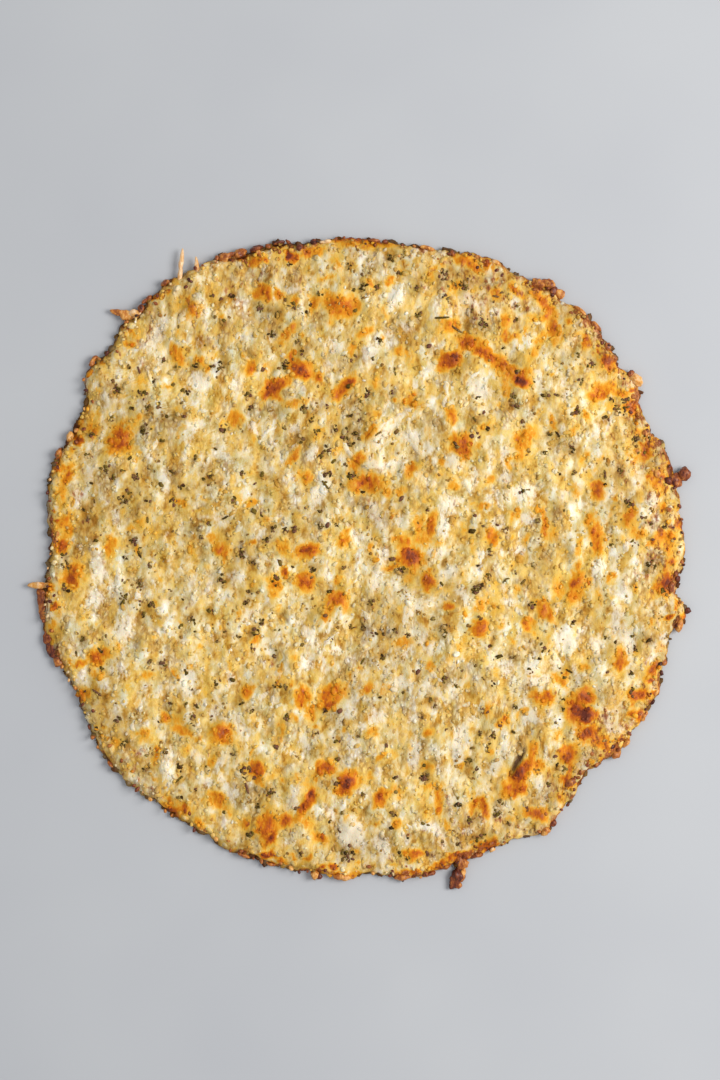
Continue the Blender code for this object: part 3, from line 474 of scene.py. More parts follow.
# Clusters of dried herbs, in mm: x, y, reach, and how many pairs of flakes
HERB_CLUSTERS = (
    (-32, 128, 1, 2), (-58, 114, 1.2, 3), (-62, 112, 1, 1), (-66, 114, 1, 1), (-61, 103, 1, 1),
    (-45, 109, 1.8, 5), (-34, 112, 1, 2), (-31, 110, 1.6, 4), (-23, 110, 1, 2), (-37, 106, 1.4, 3),
    (-40, 97, 1.4, 4), (-29, 94, 1, 2), (-27, 89, 1.2, 2), (-34, 84, 2, 6), (-80, 101, 1, 1),
    (-69, 93, 1, 1), (-87, 86, 1.3, 2), (-102, 83, 1, 2), (-81, 83, 1, 1), (-73, 84, 1.5, 2),
    (-66, 83, 1.2, 3), (-62, 83, 1.8, 4), (-107, 73, 1.2, 3), (-91, 77, 1, 2), (-96, 71, 2, 6),
    (-94, 66, 1.4, 3), (-101, 65, 1, 2), (-88, 66, 1.2, 2), (-82, 75, 1, 2), (-77, 72, 1.2, 3),
    (-85, 62, 1, 1), (-78, 62, 1, 1), (-95, 56, 2.4, 8), (-50, 71, 1.2, 3), (-49, 65, 1.4, 3),
    (-61, 56, 1.4, 4), (-64, 48, 1, 2), (-73, 44, 1, 2), (-118, 54, 1.6, 3), (-120, 45, 1, 2),
    (-112, 38, 1.6, 5), (-109, 36, 1.6, 4), (-99, 35, 1.3, 4), (-83, 37, 1.3, 3), (-67, 36, 2.2, 6),
    (-79, 31, 1.5, 4), (-102, 29, 1.2, 3), (-104, 25, 2, 6), (-83, 24, 1.6, 4), (-94, 25, 1.6, 2),
    (-117, 25, 1, 1), (-122, 22, 1, 2), (-120, 18, 1.2, 3), (-56, 25, 1.2, 3), (-26, 65, 1.6, 4),
    (-23, 60, 1, 2), (-16, 66, 1, 1), (-6, 62, 1, 3), (-2, 60, 1, 3), (-20, 55, 1.5, 4),
    (-12, 57, 1, 2), (-7, 56, 1, 2), (-8, 52, 1.3, 4), (-4, 54, 1.2, 3), (-6, 50, 1.2, 3),
    (-16, 47, 1.8, 5), (-19, 44, 1.2, 3), (-8, 41, 1, 2), (-44, 36, 1.2, 2), (-6, 36, 2.2, 6),
    (-10, 31, 1, 2), (2, 71, 1.6, 4), (-2, 69, 1.2, 2), (12, 72, 1, 2), (-4, 87, 1, 1), (-1, 98, 1, 1),
    (-6, 127, 1.3, 3), (12, 131, 1.6, 4), (15, 124, 1.6, 4), (0, 118, 2, 5), (-4, 117, 1, 2),
    (6, 118, 1.6, 3), (23, 117, 1.4, 3), (35, 124, 3, 6), (43, 119, 3, 6), (36, 113, 1.3, 3),
    (24, 106, 1.6, 5), (52, 102, 2, 7), (46, 108, 1, 2), (56, 112, 1, 1), (66, 110, 1, 2),
    (66, 104, 1, 2), (93, 88, 1, 2), (99, 84, 1.8, 6), (94, 77, 1.3, 2), (65, 71, 1.6, 3),
    (66, 66, 1.6, 5), (80, 71, 1, 1), (84, 71, 1, 2), (93, 64, 1.5, 4), (108, 69, 1.2, 2),
    (111, 64, 2.6, 7), (105, 61, 1.4, 3), (118, 60, 1, 2), (54, 56, 1, 2), (48, 60, 1, 2),
    (40, 49, 1, 3), (80, 54, 1, 2), (91, 48, 1.8, 4), (118, 52, 2, 4), (112, 38, 1.2, 3),
    (85, 37, 1, 1), (91, 37, 1.2, 3), (114, 24, 2.2, 6), (131, 14, 1.3, 4), (124, 15, 1, 2),
    (107, 6, 1, 2), (39, 17, 1, 1), (27, 21, 1, 1), (52, 14, 1, 1), (62, 13, 1.4, 3), (55, 3, 1.3, 3),
    (-19, 21, 1.2, 3), (-39, 13, 1.3, 4), (-34, 12, 1.3, 4), (-30, 13, 1.2, 3), (-42, 8, 1.2, 4),
    (-19, 14, 1.4, 3), (-12, 15, 1, 2), (-53, 2, 2, 7), (-67, 15, 1, 2), (-100, 8, 2, 6),
    (-98, 3, 1.8, 4), (-117, 8, 1, 1), (-131, 1, 1.3, 2), (-129, -3, 2.4, 4), (-130, -13, 2, 5),
    (-93, -3, 1.5, 3), (-97, -11, 1.5, 3), (-104, -17, 2.2, 7), (-92, -20, 2, 7), (-96, -24, 1.4, 3),
    (-84, -14, 1, 1), (-75, -26, 1.5, 5), (-67, -23, 1.2, 3), (-62, -9, 1.8, 5), (-49, -2, 1.3, 4),
    (-50, -14, 1.4, 4), (-51, -19, 1.1, 3), (-38, -8, 1.6, 4), (-22, -5, 2, 4), (-9, -4, 1, 2),
    (16, -5, 1.6, 5), (-44, -27, 1.2, 3), (-47, -32, 1.5, 4), (-55, -34, 1, 1), (-60, -32, 1, 1),
    (-73, -32, 1, 1), (-114, -40, 1.2, 2), (-114, -48, 1, 2), (-122, -35, 1.2, 2), (-93, -45, 1.2, 2),
    (-87, -45, 1.3, 3), (-64, -54, 1, 1), (-74, -57, 1, 1), (-73, -64, 1, 2), (-74, -68, 1.1, 3),
    (-84, -63, 1, 1), (-89, -71, 1, 1), (-107, -70, 1.8, 4), (-104, -80, 2, 6), (-86, -84, 1.4, 3),
    (-95, -91, 2, 3), (-80, -104, 1, 3), (-73, -101, 1, 1), (-68, -92, 1, 2), (-57, -85, 1, 2),
    (-50, -91, 1.6, 4), (-53, -93, 1.1, 3), (-48, -95, 1.1, 3), (-40, -102, 2.2, 6),
    (-46, -108, 1.4, 4), (-49, -120, 2, 5), (-27, -128, 1.4, 3), (-7, -129, 3, 9), (-38, -55, 1.6, 4),
    (-34, -56, 1.4, 4), (-49, -66, 1, 2), (-33, -69, 1.5, 4), (-21, -76, 1, 2), (-17, -66, 1.2, 2),
    (-2, -77, 1, 1), (-12, -79, 1.4, 2), (-11, -87, 1, 2), (-12, -98, 1.2, 3), (0, -102, 1, 2),
    (14, -95, 1, 2), (26, -95, 1.8, 9), (13, -111, 1.2, 3), (12, -117, 1, 1), (-15, -114, 1, 1),
    (7, -60, 1, 1), (17, -58, 1, 1), (8, -43, 1.3, 5), (-4, -51, 1, 1), (-5, -30, 1.5, 4),
    (0, -30, 1.6, 5), (4, -33, 1, 2), (8, -32, 1.1, 2), (13, -32, 1.6, 2), (3, -19, 1.6, 4),
    (-14, -35, 1.5, 3), (35, -31, 2, 2), (35, -53, 1.8, 5), (29, -62, 1.2, 3), (31, -64, 1, 1),
    (25, -69, 1.3, 4), (49, -13, 2.2, 9), (54, -8, 1.4, 4), (50, -26, 1.2, 2), (73, -20, 1.8, 5),
    (74, -3, 1, 2), (43, -49, 1, 1), (48, -46, 1, 1), (52, -53, 1, 1), (55, -38, 1, 1), (66, -64, 1, 2),
    (65, -43, 1, 1), (77, -38, 2, 2), (91, -28, 1, 3), (86, -50, 3, 2), (116, -50, 1.1, 3),
    (118, -39, 1.2, 3), (116, -58, 1.2, 3), (105, -34, 1, 1), (109, -37, 1, 1), (124, -35, 1.5, 2),
    (125, -3, 2.2, 8), (118, -12, 1, 1), (130, -14, 1.3, 3), (51, -76, 1.3, 3), (56, -77, 1.5, 5),
    (54, -82, 1.6, 5), (45, -88, 1.6, 4), (49, -91, 1, 2), (52, -66, 1.5, 2), (84, -90, 1, 2),
    (87, -91, 1, 3), (80, -98, 1, 3), (41, -107, 1.4, 5), (46, -114, 1.2, 4), (58, -111, 1.6, 7),
    (59, -105, 1.4, 4), (63, -115, 1.2, 2), (70, -109, 1, 1), (52, -120, 1, 2), (49, -122, 1, 1),
    (19, -130, 1.2, 2), (28, -128, 1, 2), (87, -66, 1.3, 2),
)


def oval_reach(x, y, spot):
    """How far each point lies from the middle of an oval, where 1 is the oval's edge."""
    middle_x, middle_y, length, width = (n * MM for n in spot[:4])
    angle = math.radians(spot[4])
    along = (x - middle_x) * math.cos(angle) + (y - middle_y) * math.sin(angle)
    across = (y - middle_y) * math.cos(angle) - (x - middle_x) * math.sin(angle)
    return np.sqrt((2 * along / length) ** 2 + (2 * across / width) ** 2)


def ramp(value, low, high):
    """0 below low, 1 above high, and smooth between."""
    t = np.clip((value - low) / (high - low), 0, 1)
    return t * t * (3 - 2 * t)


def bumps(x, y, width, layer, z=0.0):
    """Smooth random bumps of a width, between about -1 and 1. No two layers are alike."""
    points = zip(x / width, y / width, np.broadcast_to(z / width + layer, x.shape))
    return np.array([noise.noise(point) for point in points])


def layered(x, y, table):
    """Sum of the table's bumps, each row the width of a bump, its height and its layer."""
    return sum(height * bumps(x, y, width, layer) for width, height, layer in table)


def at(angle, radius):
    """x and y of a point at an angle and a distance from the middle."""
    return radius * np.cos(np.radians(angle)), radius * np.sin(np.radians(angle))


def angle_of(x, y):
    return np.degrees(np.arctan2(y, x))


def swells(angle, table):
    """Sum of the table's smooth swells at each angle."""
    total = np.zeros(len(angle))
    for middle, reach, rise in table:
        away = np.abs((angle - middle + 180) % 360 - 180) / reach
        total += np.where(away < 1, rise * 0.5 * (1 + np.cos(np.pi * away)), 0.0)
    return total


def outline_radius(angle):
    """How far the solid's edge lies from the middle, towards each angle."""
    x, y = at(angle, PLAIN_RADIUS)
    radius = PLAIN_RADIUS + swells(angle, EDGE_SWELLS)
    for number, (width, height) in enumerate(RAGS, FIRST_RAG):
        radius = radius + height * bumps(x, y, width, number * NOISE_STEP)
    return radius


def outline_at(angle):
    """How far the solid's edge lies from the middle, towards one angle."""
    return outline_radius(np.array([angle]))[0]


def mounds(x, y, table):
    """The highest of the table's smooth oval swellings at each point, 1 at the middle of an oval."""
    highest = np.zeros(len(x))
    for patch in table:
        away = oval_reach(x, y, patch) ** 2
        highest = np.maximum(highest, np.where(away < 1, (1 - away) ** 2, 0.0))
    return highest


def plain_height(x, y):
    """Height of the solid's top above the underside."""
    share = np.hypot(x, y) / outline_radius(angle_of(x, y))
    thinning = np.clip((share - THINNING_STARTS) / (1 - THINNING_STARTS), 0, None)
    height = MIDDLE_THICKNESS + (EDGE_THICKNESS - MIDDLE_THICKNESS) * thinning**2
    for number, (width, rise) in enumerate(TOP_LUMPS, FIRST_LUMP):
        height = height + rise * bumps(x, y, width, number * NOISE_STEP)
    melted = CHEESE_HEIGHT * mounds(x, y, CHEESE)
    risen = BLISTER_HEIGHT * mounds(x, y, BLISTERS)
    return height + np.maximum(melted, risen)


# Small spots between the listed ones: how many, the range of their sizes in mm, and of their strengths
SMALL_GOLDEN = (620, (3.0, 10.0), (0.20, 0.66))
SMALL_PALE = (300, (3.0, 9.0), (0.25, 0.65))
SMALL_DULL = (220, (4.0, 10.0), (0.2, 0.7))
# Spots near the edge: how many, the range of their sizes, and how far in they lie, in mm
RIM_SPOTS = (230, (1.8, 5.5), 9.0)
# How small spots are turned: their lean, and how much it varies
SPOT_LEAN, SPOT_LEAN_SPREAD = 70, 35
# The dull patch round each cluster of herbs: its length and width over the reach, its turn and its strength
DULL_PATCH = (3.6, 3.0, 45, 0.6)


def small_spots(count, sizes, strengths, seed):
    """Seeded oval spots spread evenly over the top, in the form of the tables above."""
    draw = random.Random(seed)
    rows = []
    for number in range(count):
        angle = GOLDEN_ANGLE * number + draw.uniform(-20, 20)
        x, y = at(angle, PLAIN_RADIUS / MM * math.sqrt((number + draw.random()) / count))
        length = draw.uniform(*sizes)
        width = length * draw.uniform(0.3, 0.75)
        strength = strengths[0] + (strengths[1] - strengths[0]) * draw.random() ** 1.9
        rows.append((x, y, length, width, draw.gauss(SPOT_LEAN, SPOT_LEAN_SPREAD), strength))
    return tuple(rows)


def rim_spots(count, sizes, deepest, seed):
    """Seeded spots near the edge, browner where the edge is browned, in the form of the tables above."""
    draw = random.Random(seed)
    rows = []
    for number in range(count):
        angle = 360 * (number + draw.random()) / count
        brown = swells(np.array([angle]), EDGE_BROWNED)[0]
        x, y = at(angle, outline_at(angle) / MM - deepest * draw.random() ** 1.3)
        length = draw.uniform(*sizes)
        strength = (0.35 + 0.85 * brown) * draw.uniform(0.45, 1.35)
        rows.append((x, y, length, length * draw.uniform(0.4, 0.8), draw.uniform(0, 180), strength))
    return tuple(rows)


# All spots. The listed golden ones are set a little more apart in how brown they are
GOLDEN_STRETCH, GOLDEN_DROP = 1.18, 0.17
GOLDEN_SPOTS = tuple((*row[:5], GOLDEN_STRETCH * row[5] - GOLDEN_DROP) for row in BROWNED)
GOLDEN_SPOTS += small_spots(*SMALL_GOLDEN, 3) + rim_spots(*RIM_SPOTS, 6)
PALE_SPOTS = PALE + small_spots(*SMALL_PALE, 4)
DULL_SPOTS = small_spots(*SMALL_DULL, 5)
for x, y, reach, _ in HERB_CLUSTERS:
    DULL_SPOTS += ((x, y, DULL_PATCH[0] * reach, DULL_PATCH[1] * reach, *DULL_PATCH[2:]),)

# How the edges of spots wander: the width of each wave, and how far it goes; and no wander is wider, in mm
WANDERS = ((5.5 * MM, 1.8 * MM), (1.8 * MM, 0.9 * MM))
WIDEST_WANDER = 3.0
# A spot is at its strongest up to the first reach, and ends at the second
SPOT_FULL, SPOT_ENDS = 0.15, 1.9


def spotted(x, y, table, layer):
    """The strongest of the table's soft-edged spots at each point, with wandering edges."""
    wandered_x = x + sum(far * bumps(x, y, width, layer) for width, far in WANDERS)
    wandered_y = y + sum(far * bumps(x, y, width, layer + 1) for width, far in WANDERS)
    strongest = np.zeros(len(x))
    for spot in table:
        away = np.maximum(np.abs(x - spot[0] * MM), np.abs(y - spot[1] * MM))
        near = away < (spot[2] + WIDEST_WANDER) * MM
        reach = oval_reach(wandered_x[near], wandered_y[near], spot)
        strongest[near] = np.maximum(strongest[near], spot[5] * (1 - ramp(reach, SPOT_FULL, SPOT_ENDS)))
    return strongest


# Patterns in the looks: the width, strength and layer of each
EDGE_BREAKS = ((4.2 * MM, 1.3, 41.3), (1.9 * MM, 0.6, 42.1))
HAZE = ((24 * MM, 0.24, 44.9), (10 * MM, 0.38, 45.7))
RIM_MOTTLE = ((6 * MM, 0.30, 47.3),)
DULL_MOTTLE = ((16 * MM, 0.3, 46.1),)
RIM_STARTS, RIM_FULL = 112 * MM, 138 * MM
# Creases deeper than this get painted shade at the bottom
SHALLOW_CREASE = 0.8
CREASE_SHADE = 2.4


def edge_share(x, y):
    """How strongly the edge is browned at each point, from 0."""
    angle = angle_of(x, y)
    depth = outline_radius(angle) - np.hypot(x, y)
    brown = swells(angle, EDGE_BROWNED)
    width = EDGE_BROWN_WIDTHS[0] + brown * EDGE_BROWN_WIDTHS[1]
    broken = np.clip(0.80 + layered(x, y, EDGE_BREAKS), 0, 1.3)
    return (0.25 + 0.75 * brown) * broken * (1 - ramp(depth, 0.1 * width, width))


def looks_at(x, y):
    """How browned, how cheesy and how dull each point is, how near the browned edge, and how much painted
    shade it gets for lying deep in a crease.
    """
    edge = edge_share(x, y)
    haze = 0.06 + layered(x, y, HAZE)
    broad = sum(patch[5] * mounds(x, y, [patch]) for patch in BROAD_BROWNED)
    rim = ramp(np.hypot(x, y), RIM_STARTS, RIM_FULL)
    browned = spotted(x, y, GOLDEN_SPOTS, 51.7) + haze
    browned = browned + rim * layered(x, y, RIM_MOTTLE)
    edge = edge + 1.3 * broad + 0.25 * rim
    cheesy = spotted(x, y, PALE_SPOTS, 57.1) * (1 - 0.5 * np.minimum(edge, 1))
    dull = spotted(x, y, DULL_SPOTS, 59.3) + layered(x, y, DULL_MOTTLE)
    # low: painted shade at the bottom of creases deeper than SHALLOW_CREASE
    low = sum(max(crease[5] - SHALLOW_CREASE, 0) * mounds(x, y, [crease]) for crease in CREASES)
    low = np.minimum(CREASE_SHADE * low, 1)
    # the browning is held back where the crease shade is painted
    browned = browned * (1 - 0.7 * low)
    return {"browned": browned, "cheesy": cheesy, "dull": np.clip(dull, 0, 1), "edge": edge, "low": low}


# The lumps of the crumb: across and along their lean, how high they stand, and which part of that lies at
# the plain top
LUMP_SIZES = (3.3 * MM, 5.8 * MM)
LUMP_HEIGHT = 0.75 * MM
LUMP_LEVEL = 0.62
LUMP_LEAN = 72
# What bends the lumps, and what stands under them: the width, height and layer of each wave
LUMP_WAVES_X = ((5 * MM, 1.6 * MM, 20.3), (1.7 * MM, 0.5 * MM, 23.1))
LUMP_WAVES_Y = ((5 * MM, 1.6 * MM, 21.9), (1.7 * MM, 0.5 * MM, 24.7))
SOFT_LUMPS = ((6.5 * MM, 0.62 * MM, 22.7), (2.4 * MM, 0.36 * MM, 22.7))
# How far melted cheese and blisters level the lumps
MELTED_SMOOTHNESS = 0.55


def lumps(x, y):
    """Rounded grains packed side by side: how high each point lies in its grain, from 0 between grains
    to 1 on top, and two chance numbers of the grain, from 0 to 1."""
    angle = math.radians(LUMP_LEAN)
    wavy_x = x + layered(x, y, LUMP_WAVES_X)
    wavy_y = y + layered(x, y, LUMP_WAVES_Y)
    along = (wavy_x * math.cos(angle) + wavy_y * math.sin(angle)) / LUMP_SIZES[1]
    across = (wavy_y * math.cos(angle) - wavy_x * math.sin(angle)) / LUMP_SIZES[0]
    rows = []
    for a, b in zip(along, across):
        reach, middles = noise.voronoi((a, b, 0.0))
        dome = 1 - min(reach[0] / 0.75, 1) ** 2
        apart = min((reach[1] - reach[0]) / 0.55, 1)
        grain = middles[0] * 9.1
        rows.append((0.7 * dome + 0.3 * apart, noise.cell(grain), noise.cell(grain.yxz)))
    height, own, gilt = np.array(rows).reshape(-1, 3).T
    return height, 0.5 + 0.5 * own, 0.5 + 0.5 * gilt


def crumb_height(x, y):
    """Height of the lumpy top, with the rounded grains of riced cauliflower in it."""
    smooth = 1 - MELTED_SMOOTHNESS * mounds(x, y, CHEESE + BLISTERS)
    risen = LUMP_HEIGHT * (lumps(x, y)[0] - LUMP_LEVEL) + layered(x, y, SOFT_LUMPS)
    height = plain_height(x, y) + smooth * risen
    for crease in CREASES:
        height = height - crease[5] * MM * mounds(x, y, [crease])
    return height


# Mesh helpers: no piece stands above the solid's highest point, and the map seen from above spans this
HIGHEST = cad_box[1].z
BAKE_SPAN = 318 * MM


def set_attribute(mesh, name, values):
    attribute = mesh.attributes.new(name, "FLOAT", "POINT")
    attribute.data.foreach_set("value", np.asarray(values, np.float32))


def finish_piece(mesh, name, materials, looks, flat=None):
    """Links a mesh as a piece of the crust, with its looks and a map seen from above, which takes the
    points' own places unless flat gives others."""
    mesh.name = name
    obj = bpy.data.objects.new(name, mesh)
    bpy.context.scene.collection.objects.link(obj)
    for material in materials:
        mesh.materials.append(material)
    for look, values in looks.items():
        set_attribute(mesh, look, values)
    if flat is None:
        flat = places(mesh)[:, :2]
    corners = np.empty(len(mesh.loops), np.int32)
    mesh.loops.foreach_get("vertex_index", corners)
    on_map = (flat / BAKE_SPAN + 0.5)[corners]
    layer = mesh.uv_layers.new(name="OFBake")
    layer.uv.foreach_set("vector", on_map.astype(np.float32).ravel())
    mesh.shade_smooth()
    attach(obj, "root")
    return obj


def places(mesh):
    """The mesh's points as an array."""
    flat = np.empty(len(mesh.vertices) * 3)
    mesh.vertices.foreach_get("co", flat)
    return flat.reshape(-1, 3)


def move(mesh, points):
    mesh.vertices.foreach_set("co", np.asarray(points, np.float32).ravel())
    mesh.update()


def ball(facets):
    """A ball one unit across, its 20 first faces split facets - 1 times."""
    form = bmesh.new()
    bmesh.ops.create_icosphere(form, subdivisions=facets, radius=0.5)
    return form


def bead():
    """A ball one unit across, of 35 faces."""
    form = bmesh.new()
    bmesh.ops.create_uvsphere(form, u_segments=7, v_segments=5, radius=0.5)
    return form


def noodle(segments, rings):
    """A rounded noodle one unit long and wide that lies along X."""
    form = bmesh.new()
    bmesh.ops.create_uvsphere(form, u_segments=segments, v_segments=rings, radius=0.5)
    bmesh.ops.rotate(form, matrix=Matrix.Rotation(math.pi / 2, 3, "Y"), verts=form.verts)
    for vert in form.verts:
        along = min(abs(2 * vert.co.x), 0.9999)
        fuller = math.sqrt(1 - along**6) / math.sqrt(1 - along**2)
        vert.co.y *= fuller
        vert.co.z *= fuller
    return form


def copies(form, count):
    """A mesh of that many copies of a form, one after the other."""
    mesh = bpy.data.meshes.new("copies")
    form.to_mesh(mesh)
    form.free()
    obj = bpy.data.objects.new("copies", mesh)
    bpy.context.scene.collection.objects.link(obj)
    array = obj.modifiers.new("copies", "ARRAY")
    array.count = count
    array.use_relative_offset = False
    graph = bpy.context.evaluated_depsgraph_get()
    many = bpy.data.meshes.new_from_object(obj.evaluated_get(graph))
    bpy.data.objects.remove(obj)
    return many


def turned(points, angles, axis):
    """Points of each copy turned about an axis by its own angle."""
    c, s = np.cos(np.radians(angles))[:, None], np.sin(np.radians(angles))[:, None]
    a, b = [n for n in range(3) if n != axis]
    out = points.copy()
    out[:, :, a] = points[:, :, a] * c - points[:, :, b] * s
    out[:, :, b] = points[:, :, a] * s + points[:, :, b] * c
    return out


def spread(count, seed, margin=0.0, looseness=1.0):
    """x and y of points spread evenly over the top, up to a margin from the edge."""
    draw = np.random.default_rng(seed)
    number = np.arange(count)
    angle = GOLDEN_ANGLE * number + draw.uniform(-9, 9, count) * looseness
    share = np.sqrt(np.clip((number + 0.5 + draw.uniform(-0.5, 0.5, count)) / count, 0, 1))
    x, y = at(angle, share * (outline_radius(angle) - margin))
    x = x + draw.normal(0, 0.7 * MM * looseness, count)
    y = y + draw.normal(0, 0.7 * MM * looseness, count)
    return inside(x, y, margin)


def inside(x, y, margin):
    """The points, those nearer to the edge than a margin pulled in to it."""
    radius = np.hypot(x, y)
    share = np.minimum((outline_radius(angle_of(x, y)) - margin) / np.maximum(radius, MM), 1)
    return x * share, y * share


def clumped(count, groups, reach, seed, margin):
    """x and y of points in small groups over the top, some groups larger than others."""
    draw = np.random.default_rng(seed)
    middle_x, middle_y = spread(groups, seed + 1, margin, 6.0)
    weight = draw.random(groups) ** 2 + 0.08
    chosen = draw.choice(groups, count, p=weight / weight.sum())
    away = reach * (0.5 + draw.random(groups))[chosen]
    return inside(middle_x[chosen] + draw.normal(0, away), middle_y[chosen] + draw.normal(0, away), margin)


def scatter(name, form, x, y, sides, sunk, materials, seed, tilt=12, rough=0.10, turn=None):
    """Many copies of a form laid on the top, each with its own sides, turn and tilt."""
    draw = np.random.default_rng(seed)
    count = len(x)
    mesh = copies(form, count)
    points = places(mesh).reshape(count, -1, 3)
    points = points * (1 + rough * draw.standard_normal((count, points.shape[1], 1)))
    points = points * sides[:, None, :]
    points = turned(points, draw.normal(0, tilt, count), 0)
    points = turned(points, draw.normal(0, tilt, count), 1)
    points = turned(points, draw.uniform(0, 180, count) if turn is None else turn, 2)
    z = crumb_height(x, y) + sides[:, 2] * (0.5 - sunk)
    points = points + np.stack([x, y, z], 1)[:, None, :]
    over = np.clip(points[:, :, 2].max(1) - HIGHEST, 0, None)
    points[:, :, 2] -= over[:, None]
    move(mesh, points.reshape(-1, 3))
    looks = looks_at(x, y)
    looks["tone"] = draw.random(count)
    looks["lump"] = draw.random(count)
    looks["gilt"] = draw.random(count)
    each = points.shape[1]
    looks = {look: np.repeat(values, each) for look, values in looks.items()}
    return finish_piece(mesh, name, materials, looks)


# The body's fine grid, and its rounded edge from the top down: how far in, and share of the edge's height
TOP_DIVISIONS = 280
EDGE_ROUNDING = (
    (3.6 * MM, 0.96),
    (2.4 * MM, 0.90),
    (1.4 * MM, 0.80),
    (0.7 * MM, 0.66),
    (0.2 * MM, 0.51),
    (0.0, 0.36),
    (0.15 * MM, 0.22),
    (0.5 * MM, 0.12),
    (1.3 * MM, 0.04),
    (2.8 * MM, 0.24),
)
EDGE_CRAGS = ((6.0 * MM, 1.1 * MM), (3.0 * MM, 1.0 * MM), (1.5 * MM, 0.4 * MM))
# The crags are full this far in from the outline
CRAGS_FULL = 1.5 * MM
# How far the foot shows past the wall above it, as a multiple of its width in EDGE_FOOT
FOOT_REACH = 1.8
# Each ring of the wall is this wide on the map, which shows the wall beside the top
RING_ON_MAP = 1.6 * MM


def closed_grid(name, divisions, rings, facing_down=False):
    """A square grid from -1 to 1 whose border is drawn out into rings and closed, with each point's ring:
    0 in the grid, and counted outwards."""
    bm = bmesh.new()
    bmesh.ops.create_grid(bm, x_segments=divisions, y_segments=divisions, size=1)
    if facing_down:
        bmesh.ops.reverse_faces(bm, faces=bm.faces)
    ring_of = bm.verts.layers.int.new("ring")
    border = [edge for edge in bm.edges if edge.is_boundary]
    for ring in range(1, rings + 1):
        made = bmesh.ops.extrude_edge_only(bm, edges=border)["geom"]
        border = [item for item in made if isinstance(item, bmesh.types.BMEdge)]
        for vert in (item for item in made if isinstance(item, bmesh.types.BMVert)):
            vert[ring_of] = ring
    bmesh.ops.contextual_create(bm, geom=border)
    bmesh.ops.recalc_face_normals(bm, faces=bm.faces)
    mesh = bpy.data.meshes.new(name)
    bm.to_mesh(mesh)
    bm.free()
    ring = np.empty(len(mesh.vertices), np.int32)
    mesh.attributes["ring"].data.foreach_get("value", ring)
    mesh.attributes.remove(mesh.attributes["ring"])
    return mesh, ring


def rounded(mesh):
    """Where a square grid's points lie when it is drawn out to a disc: each one's way from the middle in x
    and y, and how far out it is, from 0 to 1."""
    square = places(mesh)
    a, b = square[:, 0], square[:, 1]
    wide = np.abs(a) > np.abs(b)
    main = np.where(wide, a, b)
    part = 45 * np.where(wide, b, a) / np.where(main == 0, 1, main)
    turn = np.radians(np.where(wide, part, 90 - part))
    return np.cos(turn) * np.sign(main), np.sin(turn) * np.sign(main), np.abs(main)


def body(material):
    """The crust itself: a fine grid pressed into the outline, rounded over its edge and closed below."""
    mesh, ring = closed_grid("crust", TOP_DIVISIONS, len(EDGE_ROUNDING))
    way_x, way_y, out_to = rounded(mesh)
    outline = outline_radius(angle_of(way_x, way_y))
    inset = np.array([TOP_INSET] + [row[0] for row in EDGE_ROUNDING])[ring]
    share = np.array([1.0] + [row[1] for row in EDGE_ROUNDING])[ring]
    inset = inset + FOOT_REACH * swells(angle_of(way_x, way_y), EDGE_FOOT) * ramp(share, 0.15, 0.50)
    radius = (outline - inset) * out_to
    x, y = radius * way_x, radius * way_y
    z = share * crumb_height(x, y)
    near_edge = ramp(radius, outline - 2 * TOP_INSET, outline - CRAGS_FULL)
    for number, (width, rise) in enumerate(EDGE_CRAGS, FIRST_CRAG):
        out = near_edge * rise * bumps(x, y, width, number * NOISE_STEP, z)
        x, y = x + out * way_x, y + out * way_y
    move(mesh, np.stack([x, y, np.minimum(z, HIGHEST)], 1))

    flat_radius = np.where(ring == 0, radius, outline - TOP_INSET + RING_ON_MAP * ring)
    flat = np.stack([flat_radius * way_x, flat_radius * way_y], 1)
    looks = looks_at(x, y)
    angle = angle_of(x, y)
    wall = ramp(share, 0.85, 0.45)
    looks["edge"] = np.maximum(looks["edge"], (0.45 + 0.45 * swells(angle, EDGE_BROWNED)) * wall)
    looks["browned"] = looks["browned"] + 0.35 * wall
    # the foot is darkened all round where it is burnt, and fully where EDGE_FOOT lies: painted shadow away
    # from the lamp
    foot_burn_and_shade = ramp(share, 0.60, 0.25) * np.minimum(0.35 + swells(angle, EDGE_FOOT) / MM, 1)
    looks["low"] = np.maximum(looks["low"], foot_burn_and_shade)
    # the tone is how high each point lies in its grain: painted shade in the hollows between grains, lighter
    # tops
    looks["tone"], looks["lump"], looks["gilt"] = lumps(x, y)
    crust = finish_piece(mesh, "crust", [material], looks, flat)
    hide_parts("cauliflower_crust")
    return crust


# The underside's grid, how far in from the outline it ends, and the height of the hidden face that closes it
UNDERSIDE_DIVISIONS = 170
UNDERSIDE_INSET = 1.2 * MM
UNDERSIDE_LID = 0.9 * MM
PIT_DEPTH = 0.45 * MM
# Each kind of pit: its width, its layer, how deep it counts, and where in its noise it starts and is deepest
PITS = ((3.2 * MM, 61.9, 1.0, 0.12, 0.45), (9 * MM, 63.1, 0.5, 0.10, 0.50))


def underside(material):
    """The pressed underside, flat on the tray but for shallow pits between the grains."""
    mesh, ring = closed_grid("underside", UNDERSIDE_DIVISIONS, 1, facing_down=True)
    way_x, way_y, out_to = rounded(mesh)
    radius = out_to * (outline_radius(angle_of(way_x, way_y)) - UNDERSIDE_INSET)
    x, y = radius * way_x, radius * way_y
    pits = np.zeros(len(x))
    for width, layer, depth, starts, full in PITS:
        pits = pits + depth * ramp(bumps(x, y, width, layer), starts, full)
    z = np.where(ring == 1, UNDERSIDE_LID, PIT_DEPTH * np.minimum(pits, 1))
    move(mesh, np.stack([x, y, z], 1))
    looks = {"edge": edge_share(x, y), "tone": ramp(pits, 0, 1)}
    return finish_piece(mesh, "underside", [material], looks)


# How many there are of each small thing, besides those in the tables
COARSE_GRAINS = 450
FINE_GRAINS = 4200
SHRED_COUNT = 90
FLAKES = 60
MORE_FLAKES = 220
FLAKE_GROUPS = 140
SPECKS = 460
SPECK_GROUPS = 300
STEMS = 18
EDGE_BEADS = 760


